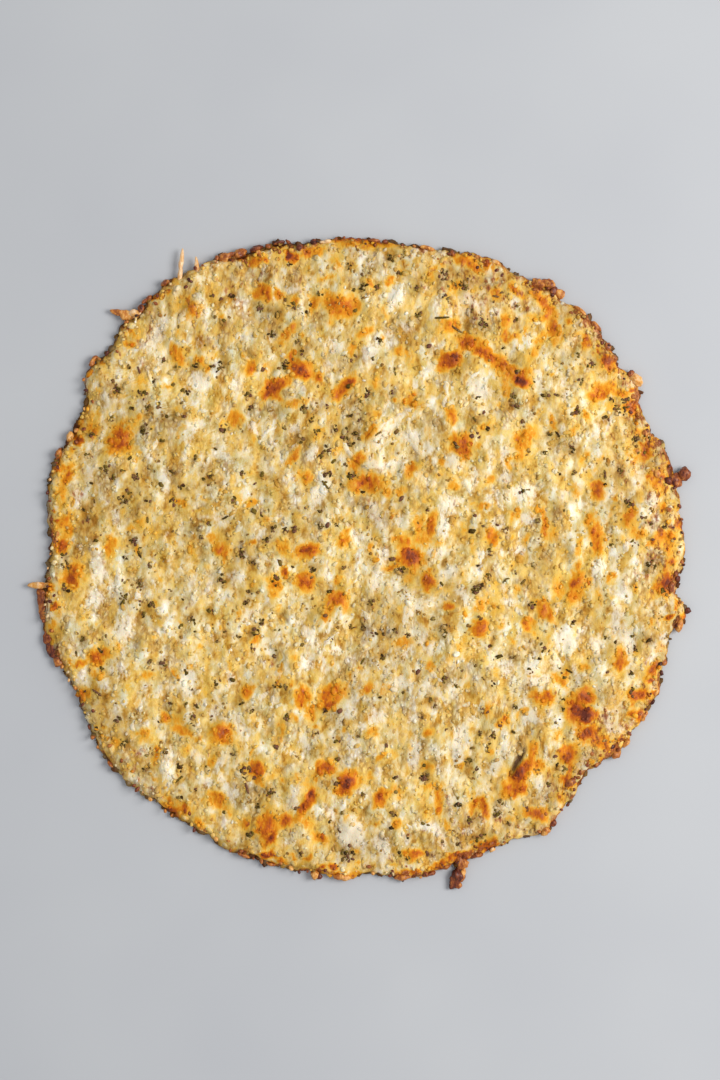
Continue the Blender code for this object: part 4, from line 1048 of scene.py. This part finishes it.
def grain_sides(draw, count, lengths, widths, heights):
    """Length, width and height of each grain: its length is drawn in mm, the others as shares of it."""
    size = draw.uniform(*lengths, count) * MM
    return np.stack([size, size * draw.uniform(*widths, count), size * draw.uniform(*heights, count)], 1)


def grains(material):
    """Grains of riced cauliflower that stand up out of the crumb."""
    draw = np.random.default_rng(21)
    x, y = spread(COARSE_GRAINS, 22, 3 * MM)
    sides = grain_sides(draw, COARSE_GRAINS, (2.4, 4.4), (0.45, 0.8), (0.35, 0.5))
    turn = draw.normal(LUMP_LEAN, 40, COARSE_GRAINS)
    scatter("coarse_grains", bead(), x, y, sides, 0.60, [material], 23, rough=0.16, turn=turn)
    x, y = spread(FINE_GRAINS, 24, 1.6 * MM)
    sides = grain_sides(draw, FINE_GRAINS, (1.1, 2.6), (0.5, 0.9), (0.5, 0.7))
    turn = draw.normal(LUMP_LEAN, 45, FINE_GRAINS)
    scatter("fine_grains", ball(1), x, y, sides, 0.50, [material], 25, rough=0.12, turn=turn)


# Melted shreds: their thickness, how far their middles lie below the crumb's top, and the tone of the listed
# ones
SHRED_THICKNESS = 1.6 * MM
SHRED_SINKS = 0.55 * MM
SHRED_TONE = 0.7


def shreds(material):
    """Shreds of melted cheese that lie over the crumb."""
    draw = np.random.default_rng(31)
    x, y = spread(SHRED_COUNT, 32, 8 * MM, 2.0)
    rows = list(SHREDS)
    for number in range(SHRED_COUNT):
        length = draw.uniform(5, 13)
        width = draw.uniform(1.8, 3.4)
        bend = draw.normal(0, 1.2)
        rows.append((x[number] / MM, y[number] / MM, length, width, draw.normal(LUMP_LEAN, 38), bend))
    rows = np.array(rows)
    mesh = copies(noodle(8, 12), len(rows))
    points = places(mesh).reshape(len(rows), -1, 3)
    along = points[:, :, :1]
    side = 1 + 0.18 * draw.standard_normal((len(rows), points.shape[1], 1))
    points = points * np.concatenate([np.ones_like(side), side, side], 2)
    points[:, :, 1:] *= 1 + 0.25 * np.sin(9 * along + 6 * draw.random((len(rows), 1, 1)))
    sides = np.stack([rows[:, 2] * MM, rows[:, 3] * MM, np.full(len(rows), SHRED_THICKNESS)], 1)
    points = points * sides[:, None, :]
    points[:, :, 1] += rows[:, 5:6] * MM * (4 * along[:, :, 0] ** 2 - 0.5)
    points = turned(points, rows[:, 4], 2)
    points[:, :, 0] += rows[:, 0:1] * MM
    points[:, :, 1] += rows[:, 1:2] * MM
    flat = points.reshape(-1, 3)
    flat[:, 2] += crumb_height(flat[:, 0], flat[:, 1]) - SHRED_SINKS
    flat[:, 2] = np.minimum(flat[:, 2], HIGHEST)
    move(mesh, flat)
    looks = looks_at(flat[:, 0], flat[:, 1])
    own = draw.random((3, len(rows)))
    own[0, :len(SHREDS)] = SHRED_TONE
    for look, values in zip(("tone", "lump", "gilt"), own):
        looks[look] = np.repeat(values, points.shape[1])
    looks["cheesy"] = 0.35 + 0.5 * looks["tone"]
    return finish_piece(mesh, "cheese_shreds", [material], looks)


def solid_flakes():
    """Places, lengths and turns of the herb flakes that the solid has."""
    draw = random.Random(11)
    longest, shortest = 3.6 * MM, 2.0 * MM
    rows = []
    for number in range(FLAKES):
        angle = GOLDEN_ANGLE * number + draw.uniform(-9, 9)
        share = math.sqrt((number + 0.5 + draw.uniform(-0.4, 0.4)) / FLAKES)
        x, y = at(angle, share * (outline_at(angle) - 9 * MM))
        length = longest + (shortest - longest) * number / FLAKES
        rows.append((x, y, length, draw.uniform(0, 180)))
    return rows


# The longest herb stem: x, y, length and turn
LONG_STEM = (34 * MM, 104.5 * MM, 7 * MM, 3)


def herbs(flake_material, speck_material):
    """Dried herb flakes and stems, and fine specks of pepper and herb dust."""
    draw = np.random.default_rng(41)
    rows = solid_flakes()
    for middle_x, middle_y, reach, count in HERB_CLUSTERS:
        for _ in range(2 * count):
            x = (middle_x + draw.normal(0, reach * 0.5)) * MM
            y = (middle_y + draw.normal(0, reach * 0.5)) * MM
            rows.append((x, y, draw.uniform(0.9, 2.3) * MM, draw.uniform(0, 180)))
    x, y = clumped(MORE_FLAKES, FLAKE_GROUPS, 0.9 * MM, 42, 3 * MM)
    for number in range(MORE_FLAKES):
        length = 1.2 + 1.5 * draw.random() ** 1.5
        rows.append((x[number], y[number], length * MM, draw.uniform(0, 180)))
    rows = np.array(rows)
    length = rows[:, 2]
    sides = np.stack([length, length * draw.uniform(0.5, 0.9, len(rows)), 0.15 * length + 0.25 * MM], 1)
    scatter(
        "herb_flakes", ball(1), rows[:, 0], rows[:, 1], sides, 0.32, [flake_material], 43,
        tilt=16, rough=0.22, turn=rows[:, 3],
    )
    x, y = spread(STEMS, 44, 8 * MM, 4.0)
    length = draw.uniform(2.8, 5.2, STEMS) * MM
    turn = draw.normal(60, 50, STEMS)
    x[0], y[0], length[0], turn[0] = LONG_STEM
    sides = np.stack([length, np.full(STEMS, 0.9 * MM), np.full(STEMS, 0.7 * MM)], 1)
    scatter("herb_stems", noodle(6, 6), x, y, sides, 0.05, [flake_material], 45, tilt=5, turn=turn)
    x, y = clumped(SPECKS, SPECK_GROUPS, 2.4 * MM, 46, 1.5 * MM)
    size = draw.uniform(1.0, 1.9, SPECKS) * MM
    sides = np.stack([size, size * draw.uniform(0.5, 1.0, SPECKS), size * 0.4], 1)
    scatter("pepper_specks", ball(1), x, y, sides, 0.3, [speck_material], 47, tilt=15, rough=0.15)


# What sticks out past the edge, in mm: x, y, height of its middle, length, width, thickness, turn, and tone
EDGE_BITS = (
    (-79.8, 126.3, 3.2, 17.5, 2.2, 1.8, 84, 0.78),
    (-72.4, 125.8, 3.0, 12.0, 2.0, 1.8, 98, 0.70),
    (-107.6, 107.0, 2.4, 6.0, 3.2, 2.6, 165, 0.44),
    (-103.6, 105.6, 2.6, 6.4, 5.0, 2.8, 160, 0.62),
    (-99.6, 106.6, 2.8, 6.0, 4.2, 2.8, 10, 0.72),
    (-97.2, 108.2, 2.8, 4.4, 3.6, 2.8, 30, 0.34),
    (-140.6, -11.6, 2.9, 12.0, 2.9, 2.2, 0, 0.66),
    (-140.8, -16.5, 1.7, 8.0, 4.6, 2.4, 92, 0.38),
    (-139.6, -23.0, 1.7, 9.0, 5.0, 2.4, 97, 0.44),
    (-137.2, -34.0, 1.8, 7.0, 5.4, 2.6, 105, 0.30),
    (-135.4, -40.0, 1.8, 8.0, 5.6, 2.6, 108, 0.22),
    (-133.4, -45.0, 1.9, 5.0, 4.0, 2.4, 110, 0.40),
    (136.0, 33.4, 2.6, 6.0, 5.6, 3.6, 30, 0.34),
    (139.4, 36.0, 2.8, 5.4, 5.0, 3.8, 60, 0.28),
    (42.2, -132.8, 2.6, 6.6, 5.4, 3.8, 95, 0.42),
    (40.4, -137.2, 2.4, 6.4, 4.8, 3.8, 80, 0.16),
    (43.0, -136.6, 2.2, 4.4, 2.4, 2.8, 70, 0.60),
    (42.4, -139.4, 2.0, 3.0, 2.4, 2.4, 60, 0.36),
    (39.4, -140.6, 2.2, 5.4, 4.4, 3.2, 100, 0.22),
    (40.8, -142.4, 1.8, 3.0, 2.6, 2.4, 0, 0.40),
    (38.4, -143.0, 1.6, 2.4, 2.0, 2.0, 30, 0.14),
    (80.6, 119.4, 2.6, 7.0, 4.6, 3.4, -40, 0.42),
    (85.4, 115.4, 2.6, 6.0, 4.4, 3.2, -42, 0.50),
    (-60.0, 131.0, 2.6, 6.0, 4.0, 2.8, 20, 0.46),
    (-54.6, 132.8, 2.6, 7.0, 4.4, 2.8, 20, 0.40),
)
# The crags of a lump: their width, and how high they stand as a share of its thinnest side
CRAGS = ((4.0 * MM, 0.45), (1.5 * MM, 0.26))
BURNT_CRUMBS = 190
# Knobs whose middles lie further in than this lie on the top, and the others on the tray
KNOB_ON_TOP = -1.5
# Lumps wider than these, each in turn, have four times as many faces
FINER_LUMPS = (4.5 * MM, 7 * MM)


def craggy_ball(bm, middle, sides, turn, fineness):
    """Adds an oval lump with a craggy surface, and gives its points."""
    made = bmesh.ops.create_icosphere(bm, subdivisions=fineness, radius=0.5)["verts"]
    bmesh.ops.scale(bm, vec=sides, verts=made)
    bmesh.ops.rotate(bm, matrix=Matrix.Rotation(math.radians(turn), 3, "Z"), verts=made)
    thinnest = min(sides)
    for vert in made:
        for width, rise in CRAGS:
            vert.co += vert.co.normalized() * thinnest * rise * noise.noise((vert.co + middle) / width)
    bmesh.ops.translate(bm, vec=middle, verts=made)
    return made


def edge_lumps(material):
    """Strands, spurs, ledges, burnt crumbs and knobs along the edge, each browned in its own way."""
    rows = []
    for x, y, z, length, width, thickness, turn, tone in EDGE_BITS:
        rows.append((Vector((x, y, z)) * MM, Vector((length, width, thickness)) * MM, turn, tone))
    for angle, length, width, out, tone in EDGE_KNOBS:
        x, y = at(angle, outline_at(angle) + out * MM)
        thickness = min(3.6, 0.5 * (length + width)) * MM
        top = plain_height(np.array([x]), np.array([y]))[0]
        z = top - 0.3 * thickness if out < KNOB_ON_TOP else 0.55 * thickness + 0.9 * MM
        rows.append((Vector((x, y, z)), Vector((width * MM, length * MM, thickness)), angle, tone))
    draw = random.Random(53)
    angles = np.array([360 * (number + draw.random()) / BURNT_CRUMBS for number in range(BURNT_CRUMBS)])
    for angle, brown, radius in zip(angles, swells(angles, EDGE_BROWNED), outline_radius(angles)):
        width = draw.uniform(0.8, 1.7)
        sides = Vector((width, width * draw.uniform(1.0, 1.8), width)) * MM
        x, y = at(angle, radius - 6 * MM * draw.random() ** 1.9 - 0.2 * MM)
        z = plain_height(np.array([x]), np.array([y]))[0] - 0.3 * width * MM
        rows.append((Vector((x, y, z)), sides, draw.uniform(0, 180), draw.uniform(0.08, 0.75 - 0.4 * brown)))
    bm = bmesh.new()
    toned = bm.verts.layers.float.new("tone")
    for middle, sides, turn, tone in rows:
        fineness = 2 + sum(max(sides) > limit for limit in FINER_LUMPS)
        for vert in craggy_ball(bm, middle, sides, turn, fineness):
            vert[toned] = tone
    mesh = bpy.data.meshes.new("edge_lumps")
    bm.to_mesh(mesh)
    bm.free()
    points = places(mesh)
    points[:, 2] = np.maximum(points[:, 2], 0)
    move(mesh, points)
    # lower points are darker towards the tray: burnt there, and painted shade
    return finish_piece(mesh, "edge_lumps", [material], {"low": ramp(points[:, 2], 3 * MM, 0)})


def edge_beads(material):
    """Crisp browned beads of cheese and crumb all round the edge."""
    draw = np.random.default_rng(51)
    angle = np.arange(EDGE_BEADS) * 360 / EDGE_BEADS + draw.uniform(-0.6, 0.6, EDGE_BEADS)
    inset = (0.1 + 4.0 * draw.random(EDGE_BEADS) ** 1.4) * MM
    x, y = at(angle, outline_radius(angle) - inset - 0.5 * swells(angle, EDGE_FOOT))
    size = (1.2 + 2.8 * draw.random(EDGE_BEADS) ** 1.5) * MM
    sides = np.stack([size * draw.uniform(1.0, 1.6, EDGE_BEADS), size * 0.8, size * 0.7], 1)
    mesh = copies(bead(), EDGE_BEADS)
    points = places(mesh).reshape(EDGE_BEADS, -1, 3)
    points = points * (1 + 0.10 * draw.standard_normal((EDGE_BEADS, points.shape[1], 1)))
    points = turned(points * sides[:, None, :], angle + 90 + draw.normal(0, 40, EDGE_BEADS), 2)
    height = plain_height(x, y) * (0.30 + 0.64 * ramp(inset, 0, 3.6 * MM))
    z = np.maximum(height - 0.25 * size, 0.5 * size)
    points = points + np.stack([x, y, z], 1)[:, None, :]
    points[:, :, 2] = np.maximum(points[:, :, 2], 0)
    move(mesh, points.reshape(-1, 3))
    looks = looks_at(x, y)
    looks["tone"] = draw.random(EDGE_BEADS)
    # beads low on the edge and at the foot are darkened: burnt foot and painted shadow
    foot_burn_and_shade = np.minimum(swells(angle, EDGE_FOOT) / MM, 1) * ramp(inset, 3.0 * MM, 1.1 * MM)
    looks["low"] = np.maximum(ramp(height, 3.4 * MM, 1.2 * MM), foot_burn_and_shade)
    looks["lump"] = draw.random(EDGE_BEADS)
    looks["gilt"] = draw.random(EDGE_BEADS)
    looks["edge"] = (0.30 + 1.1 * swells(angle, EDGE_BROWNED)) * draw.random(EDGE_BEADS)
    looks = {look: np.repeat(values, points.shape[1]) for look, values in looks.items()}
    return finish_piece(mesh, "edge_beads", [material], looks)


# Materials
def srgb(code):
    """A linear colour from an sRGB hex code such as 'dcb670'."""
    channels = [int(code[i : i + 2], 16) / 255 for i in (0, 2, 4)]
    return [c / 12.92 if c <= 0.04045 else ((c + 0.055) / 1.055) ** 2.4 for c in channels] + [1.0]


def new_material(name, **shader_settings):
    material = bpy.data.materials.new(name)
    material.use_nodes = True
    shader = material.node_tree.nodes["Principled BSDF"]
    for socket, value in shader_settings.items():
        shader.inputs[socket.replace("_", " ")].default_value = value
    return material, material.node_tree, shader


def add(tree, kind, sockets, **settings):
    """Adds a node, sets its settings, and links or sets its sockets, given by name or number."""
    node = tree.nodes.new("ShaderNode" + kind)
    for setting, value in settings.items():
        setattr(node, setting, value)
    for socket, value in sockets.items():
        if isinstance(value, bpy.types.NodeSocket):
            tree.links.new(value, node.inputs[socket])
        else:
            node.inputs[socket].default_value = value
    return node


def colours(tree, value, stops):
    """A colour ramp: each stop is a place from 0 to 1 and an sRGB hex code."""
    node = add(tree, "ValToRGB", {0: value})
    elements = node.color_ramp.elements
    while len(elements) < len(stops):
        elements.new(0.5)
    for element, (place, code) in zip(elements, stops):
        element.position = place
        element.color = srgb(code)
    return node.outputs[0]


def part_of(tree, value, low, high, most=1.0, least=0.0):
    """value taken smoothly from low..high to least..most."""
    sockets = {"Value": value, "From Min": low, "From Max": high, "To Min": least, "To Max": most}
    return add(tree, "MapRange", sockets, interpolation_type="SMOOTHSTEP").outputs[0]


def sums(tree, kind, a, b):
    return add(tree, "Math", {0: a, 1: b}, operation=kind).outputs[0]


def blend(tree, share, a, b, kind="MIX"):
    node = add(tree, "Mix", {0: share, 6: a, 7: b}, data_type="RGBA", blend_type=kind)
    return node.outputs[2]


def reading(tree, name):
    return add(tree, "Attribute", {}, attribute_name=name).outputs["Fac"]


def millimetres(tree):
    """Places on the crust, in millimetres."""
    place = add(tree, "TexCoord", {}).outputs["Object"]
    return add(tree, "Mapping", {"Vector": place, "Scale": (1000, 1000, 1000)}).outputs[0]


def specks_of(tree, place, size, share, softness):
    """1 in small round specks that lie in a share of the cells, each a size across."""
    cells = add(tree, "TexVoronoi", {"Vector": place, "Scale": 1 / size, "Randomness": 1.0})
    chance = add(tree, "SeparateColor", {0: cells.outputs["Color"]}).outputs[0]
    chosen = add(tree, "Math", {0: chance, 1: share}, operation="LESS_THAN").outputs[0]
    spot = part_of(tree, cells.outputs["Distance"], 0.30 + softness, 0.30 - softness)
    return sums(tree, "MULTIPLY", chosen, spot)


# The patterns of the materials: how wide the smallest crumbs are in mm, and how fine the clouds are per mm
CRUMB_WIDTH = 2.0
WIDE, MIDDLING, SMALL, FINE = 0.13, 0.30, 0.62, 1.3


def leaning(tree, place, scale):
    """Places stretched along the lean of the lumps, for patterns a scale per mm fine."""
    lean = math.radians(90 - LUMP_LEAN)
    sockets = {"Vector": place, "Rotation": (0, 0, lean), "Scale": (scale, 0.55 * scale, scale)}
    return add(tree, "Mapping", sockets).outputs[0]


def clouds(tree, place, scale, detail=2.0):
    """Soft noise about 0, from -0.5 to 0.5, a scale per mm fine."""
    sockets = {"Vector": leaning(tree, place, scale), "Scale": 1.0, "Detail": detail, "Roughness": 0.6}
    return sums(tree, "SUBTRACT", add(tree, "TexNoise", sockets).outputs["Fac"], 0.5)


def crumbs(tree, place):
    """Small crumbs packed side by side: 0 between them to 1 on top, and two chance numbers of each."""
    noisy = add(tree, "TexNoise", {"Vector": place, "Scale": 0.55, "Detail": 2.0}).outputs["Color"]
    sockets = {0: noisy, 1: (1.6, 1.6, 1.6), 2: place}
    wavy = add(tree, "VectorMath", sockets, operation="MULTIPLY_ADD").outputs[0]
    cells = {"Vector": leaning(tree, wavy, 1 / CRUMB_WIDTH), "Scale": 1.0}
    apart = add(tree, "TexVoronoi", cells, feature="DISTANCE_TO_EDGE").outputs["Distance"]
    chance = add(tree, "SeparateColor", {0: add(tree, "TexVoronoi", cells).outputs["Color"]})
    centred = [sums(tree, "SUBTRACT", chance.outputs[number], 0.5) for number in range(2)]
    return part_of(tree, apart, 0.0, 0.34), *centred


def weighed(tree, first, *rest):
    """first plus each value of rest times its weight."""
    total = first
    for value, weight in rest:
        total = add(tree, "Math", {0: value, 1: weight, 2: total}, operation="MULTIPLY_ADD").outputs[0]
    return total


def baked(name, tone_and_hollow_shade, roughness):
    """Riced cauliflower, egg and melted mozzarella, baked until golden: moist and a little oily.

    tone_and_hollow_shade is how much the tone attribute counts: on the crust it is how high a point lies in
    its grain, which paints shade in the hollows between grains and lightens their tops, and on the other
    pieces it is a tone of their own. roughness is that of the dry crumb."""
    material, tree, shader = new_material(
        name, IOR=1.42, Specular_IOR_Level=0.15, Subsurface_Weight=0.2, Subsurface_Scale=0.0014
    )
    shader.inputs["Subsurface Radius"].default_value = (1.0, 0.6, 0.25)
    place = millimetres(tree)
    wide = clouds(tree, place, WIDE)
    middling = clouds(tree, place, MIDDLING)
    small = clouds(tree, place, SMALL)
    fine = clouds(tree, place, FINE)
    own = sums(tree, "SUBTRACT", reading(tree, "tone"), 0.5)
    lump = sums(tree, "SUBTRACT", reading(tree, "lump"), 0.5)
    gilt = sums(tree, "SUBTRACT", reading(tree, "gilt"), 0.5)
    crumb, pale, brown = crumbs(tree, place)
    dull = reading(tree, "dull")
    parted = weighed(tree, clouds(tree, place, 0.12), (middling, 0.6), (dull, 0.12))
    rough = part_of(tree, parted, -0.06, 0.22)
    # painted shade: the hollows between the small crumbs, darkened in the colour below
    crevice_shade = sums(tree, "MULTIPLY", sums(tree, "SUBTRACT", 1.0, crumb), rough)
    # on the crust the tone's weight paints shade in the hollows between grains and lightens their tops
    tone = weighed(
        tree, 0.55, (wide, 0.8), (middling, 1.0), (small, 0.8), (fine, 0.2), (own, tone_and_hollow_shade), (lump, 0.34),
        (pale, 0.22), (dull, -0.10),
    )
    grain = colours(tree, tone, (
        (0.05, "b08640"), (0.25, "d2ae64"), (0.44, "e5ce94"), (0.64, "f0e2bc"), (0.90, "faf6e8"),
    ))
    gilded = weighed(tree, clouds(tree, place, 0.20), (small, 0.5), (gilt, 0.30))
    gold = part_of(tree, gilded, -0.14, 0.14)
    # painted shade in the hollows between the crumbs
    crevice_shaded = blend(tree, sums(tree, "MULTIPLY", crevice_shade, 0.62), grain, srgb("ac8650"), "MULTIPLY")
    golden = blend(tree, gold, crevice_shaded, srgb("fbe29c"), "MULTIPLY")
    green = part_of(tree, clouds(tree, place, 0.17, 1.0), -0.04, 0.20, 0.48)
    tinted = blend(tree, green, golden, srgb("e8ecc8"), "MULTIPLY")
    dulling = part_of(tree, weighed(tree, dull, (small, 1.2), (fine, 0.5)), 0.15, 1.0, 0.62)
    dulled = blend(tree, dulling, tinted, srgb("bca67e"), "MULTIPLY")

    melted = weighed(tree, reading(tree, "cheesy"), (small, 1.3), (fine, 0.5), (pale, 0.3))
    cheesy = part_of(tree, melted, 0.25, 1.0, 0.78)
    milky = blend(tree, cheesy, dulled, srgb("f8f0dc"))

    edge = reading(tree, "edge")
    tan = part_of(tree, weighed(tree, edge, (middling, 0.8)), 0.0, 1.2, 0.6)
    tanned = blend(tree, tan, milky, srgb("e8c0a4"), "MULTIPLY")
    browned = reading(tree, "browned")
    broken = weighed(tree, 1.0, (small, 0.7), (fine, 0.4), (brown, 0.2))
    heat = weighed(
        tree, sums(tree, "MULTIPLY", browned, broken), (middling, 0.30), (small, 0.25), (brown, 0.06),
        (own, 0.16), (gilt, 0.12), (edge, 0.08),
    )
    toast = colours(tree, sums(tree, "MULTIPLY", heat, 0.6), (
        (0.00, "f4e096"), (0.14, "f3d476"), (0.26, "f0c04c"), (0.38, "eaa62c"), (0.50, "dd8a18"),
        (0.62, "cc6c14"), (0.76, "a84e1c"), (0.95, "6e3426"),
    ))
    toasted = blend(tree, part_of(tree, heat, 0.12, 0.68), tanned, toast)

    crisp = weighed(
        tree, clouds(tree, place, 0.40), (small, 0.7), (own, 0.15), (edge, 0.44), (brown, 0.14),
        (crevice_shade, 0.10),
    )
    rust = colours(tree, weighed(tree, 0.5, (fine, 1.0), (wide, 1.0), (edge, -0.1)), (
        (0.2, "4e1e10"), (0.5, "9c5228"), (0.8, "dca070"),
    ))
    rusted = blend(tree, part_of(tree, crisp, 0.20, 0.50, 0.92), toasted, rust)
    # the low attribute darkens the foot of the edge, burnt and with painted shadow, and the bottom of deep
    # creases with painted shade
    foot_burn_and_shade = blend(tree, sums(tree, "MULTIPLY", reading(tree, "low"), 0.92), rusted, srgb("48240e"))

    dust = specks_of(tree, place, 2.1, 0.14, 0.20)
    dusted = blend(tree, sums(tree, "MULTIPLY", dust, 0.30), foot_burn_and_shade, srgb("7c5438"))
    # painted shade: broad soft darkening that stands in for the shading of the top's gentle swells
    shade = part_of(tree, weighed(tree, clouds(tree, place, 0.085), (dull, 0.1)), -0.16, 0.20, 0.54)
    shaded = blend(tree, shade, dusted, srgb("beb6a8"), "MULTIPLY")
    tree.links.new(shaded, shader.inputs["Base Color"])

    wet = part_of(tree, sums(tree, "MAXIMUM", cheesy, heat), 0.2, 0.9, roughness - 0.14, roughness)
    tree.links.new(wet, shader.inputs["Roughness"])
    relief = weighed(tree, fine, (small, 1.2), (sums(tree, "MULTIPLY", crumb, rough), 0.5), (pale, 0.2))
    bump = add(tree, "Bump", {"Strength": 0.36, "Distance": 0.0005, "Height": relief})
    tree.links.new(bump.outputs[0], shader.inputs["Normal"])
    return material


def seasoning(name, tones, roughest):
    """A dull dried seasoning: each flake has a tone of its own, with a little change along it."""
    material, tree, shader = new_material(name, IOR=1.4, Specular_IOR_Level=0.15)
    place = millimetres(tree)
    fine = add(tree, "TexNoise", {"Vector": place, "Scale": 1.6, "Detail": 2.0}).outputs["Fac"]
    tone = sums(tree, "ADD", reading(tree, "tone"), part_of(tree, fine, 0.3, 0.7, 0.15, -0.15))
    tree.links.new(colours(tree, tone, tones), shader.inputs["Base Color"])
    tree.links.new(part_of(tree, fine, 0.3, 0.7, roughest, 0.6), shader.inputs["Roughness"])
    return material


def dried_herb():
    """Dried oregano and basil: olive to near black, some purple-brown."""
    return seasoning("dried_herb", (
        (0.00, "38240e"), (0.25, "5a4818"), (0.45, "786422"), (0.62, "7c503e"), (0.80, "5c382e"),
        (1.00, "968040"),
    ), 0.85)


def ground_pepper():
    """Ground pepper and herb dust under a film of cheese: olive brown."""
    return seasoning("ground_pepper", ((0.00, "7c5826"), (0.5, "a67e3e"), (1.00, "c4a25e")), 0.8)


def crisp_edge():
    """Cheese fried crisp on the hot tray: orange to dark brown, hard and a little glossy."""
    material, tree, shader = new_material("crisp_edge", IOR=1.45, Specular_IOR_Level=0.4)
    place = millimetres(tree)
    small = clouds(tree, place, 0.5)
    fine = clouds(tree, place, FINE)
    # darker where low, towards the tray: partly burnt, partly painted shade
    tone = weighed(tree, reading(tree, "tone"), (small, 0.8), (fine, 0.5), (reading(tree, "low"), -0.25))
    crisp = colours(tree, tone, (
        (0.00, "2e120e"), (0.18, "5f2818"), (0.34, "8c4820"), (0.50, "bc7430"), (0.64, "dca050"),
        (0.80, "e8bc8c"), (1.00, "f4dcb0"),
    ))
    tree.links.new(crisp, shader.inputs["Base Color"])
    tree.links.new(part_of(tree, fine, -0.2, 0.2, 0.5, 0.32), shader.inputs["Roughness"])
    bump = add(tree, "Bump", {"Strength": 0.5, "Distance": 0.0005, "Height": small})
    tree.links.new(bump.outputs[0], shader.inputs["Normal"])
    return material


def pressed_underside():
    """The face baked against the tray: evenly golden, browner where grains touched, paler in the pits."""
    material, tree, shader = new_material("pressed_underside", IOR=1.42, Specular_IOR_Level=0.3)
    place = millimetres(tree)
    broad = add(tree, "TexNoise", {"Vector": place, "Scale": 0.05, "Detail": 4.0}).outputs["Fac"]
    grained = {"Vector": place, "Scale": 0.7, "Detail": 4.0, "Roughness": 0.65}
    fine = add(tree, "TexNoise", grained).outputs["Fac"]
    heat = sums(tree, "ADD", part_of(tree, broad, 0.3, 0.7, 0.55), part_of(tree, fine, 0.3, 0.7, 0.35))
    heat = sums(tree, "ADD", heat, sums(tree, "MULTIPLY", reading(tree, "edge"), 0.3))
    heat = sums(tree, "SUBTRACT", heat, sums(tree, "MULTIPLY", reading(tree, "tone"), 0.35))
    toast = colours(tree, heat, (
        (0.00, "efd694"), (0.30, "e6b964"), (0.55, "cf8f34"), (0.78, "a6631c"), (1.00, "6e3a12"),
    ))
    dust = specks_of(tree, place, 2.2, 0.2, 0.12)
    dusted = blend(tree, sums(tree, "MULTIPLY", dust, 0.6), toast, srgb("4a3c24"))
    tree.links.new(dusted, shader.inputs["Base Color"])
    tree.links.new(part_of(tree, fine, 0.3, 0.7, 0.7, 0.5), shader.inputs["Roughness"])
    bump = add(tree, "Bump", {"Strength": 0.4, "Distance": 0.0003, "Height": fine})
    tree.links.new(bump.outputs[0], shader.inputs["Normal"])
    return material


# Floor, light and camera. The frame is 720 by 1080 pixels, and one of its pixels is this long on the crust
PHOTO_PIXEL = 280 / 644 * MM
FRAME_HEIGHT = 1080 * PHOTO_PIXEL
CAMERA_HEIGHT = 900 * MM
CAMERA_MIDDLE = (-1.7 * MM, 8.0 * MM)
SENSOR = 36.0
# The floor and the lamp, in metres and watts, the way from the crust to the lamp, and the sky's share
FLOOR_HALF_SIDE = 3
LAMP_WIDTH = 0.75
LAMP_DISTANCE = 1.3
LAMP_WAY = (math.cos(math.radians(47)), 0.08, math.sin(math.radians(47)))
LAMP_POWER = 15.1
LAMP_COLOUR = (1.0, 0.98, 0.95)
SKY_COLOUR = (0.95, 0.97, 1.0, 1.0)
SKY_STRENGTH = 0.6


def studio():
    """A pale floor, one large soft lamp from the right, and an even pale sky."""
    bm = bmesh.new()
    bmesh.ops.create_grid(bm, x_segments=1, y_segments=1, size=FLOOR_HALF_SIDE)
    mesh = bpy.data.meshes.new("floor")
    bm.to_mesh(mesh)
    bm.free()
    floor = bpy.data.objects.new("floor", mesh)
    bpy.context.scene.collection.objects.link(floor)
    material, tree, shader = new_material("pale_floor", Roughness=0.9)
    place = millimetres(tree)
    cloud = add(tree, "TexNoise", {"Vector": place, "Scale": 0.01, "Detail": 2.0}).outputs["Fac"]
    tree.links.new(colours(tree, cloud, ((0.3, "b4b6ba"), (0.7, "b9bbbe"))), shader.inputs["Base Color"])
    mesh.materials.append(material)

    lamp = bpy.data.lights.new("soft_lamp", "AREA")
    lamp.shape = "DISK"
    lamp.size = LAMP_WIDTH
    lamp.energy = LAMP_POWER
    lamp.color = LAMP_COLOUR
    lit = bpy.data.objects.new("soft_lamp", lamp)
    way = Vector(LAMP_WAY).normalized()
    lit.location = way * LAMP_DISTANCE
    lit.rotation_euler = way.to_track_quat("Z", "Y").to_euler()
    bpy.context.scene.collection.objects.link(lit)

    world = bpy.data.worlds.new("even_sky")
    world.use_nodes = True
    sky = world.node_tree.nodes["Background"]
    sky.inputs["Color"].default_value = SKY_COLOUR
    sky.inputs["Strength"].default_value = SKY_STRENGTH
    bpy.context.scene.world = world


def camera():
    """Straight above, as high as a tripod, with the top of the picture towards +Y."""
    data = bpy.data.cameras.new("camera")
    data.sensor_width = SENSOR
    data.lens = SENSOR * CAMERA_HEIGHT / FRAME_HEIGHT
    seen = bpy.data.objects.new("camera", data)
    seen.location = (*CAMERA_MIDDLE, CAMERA_HEIGHT + EDGE_THICKNESS)
    bpy.context.scene.collection.objects.link(seen)
    bpy.context.scene.camera = seen


crumb_material = baked("baked_crumb", 0.24, 0.55)
grain_material = baked("baked_grains", 0.20, 0.52)
crisp_material = crisp_edge()
body(crumb_material)
underside(pressed_underside())
grains(grain_material)
shreds(grain_material)
herbs(dried_herb(), ground_pepper())
edge_lumps(crisp_material)
edge_beads(grain_material)
studio()
camera()
bpy.context.scene.view_settings.view_transform = "Standard"
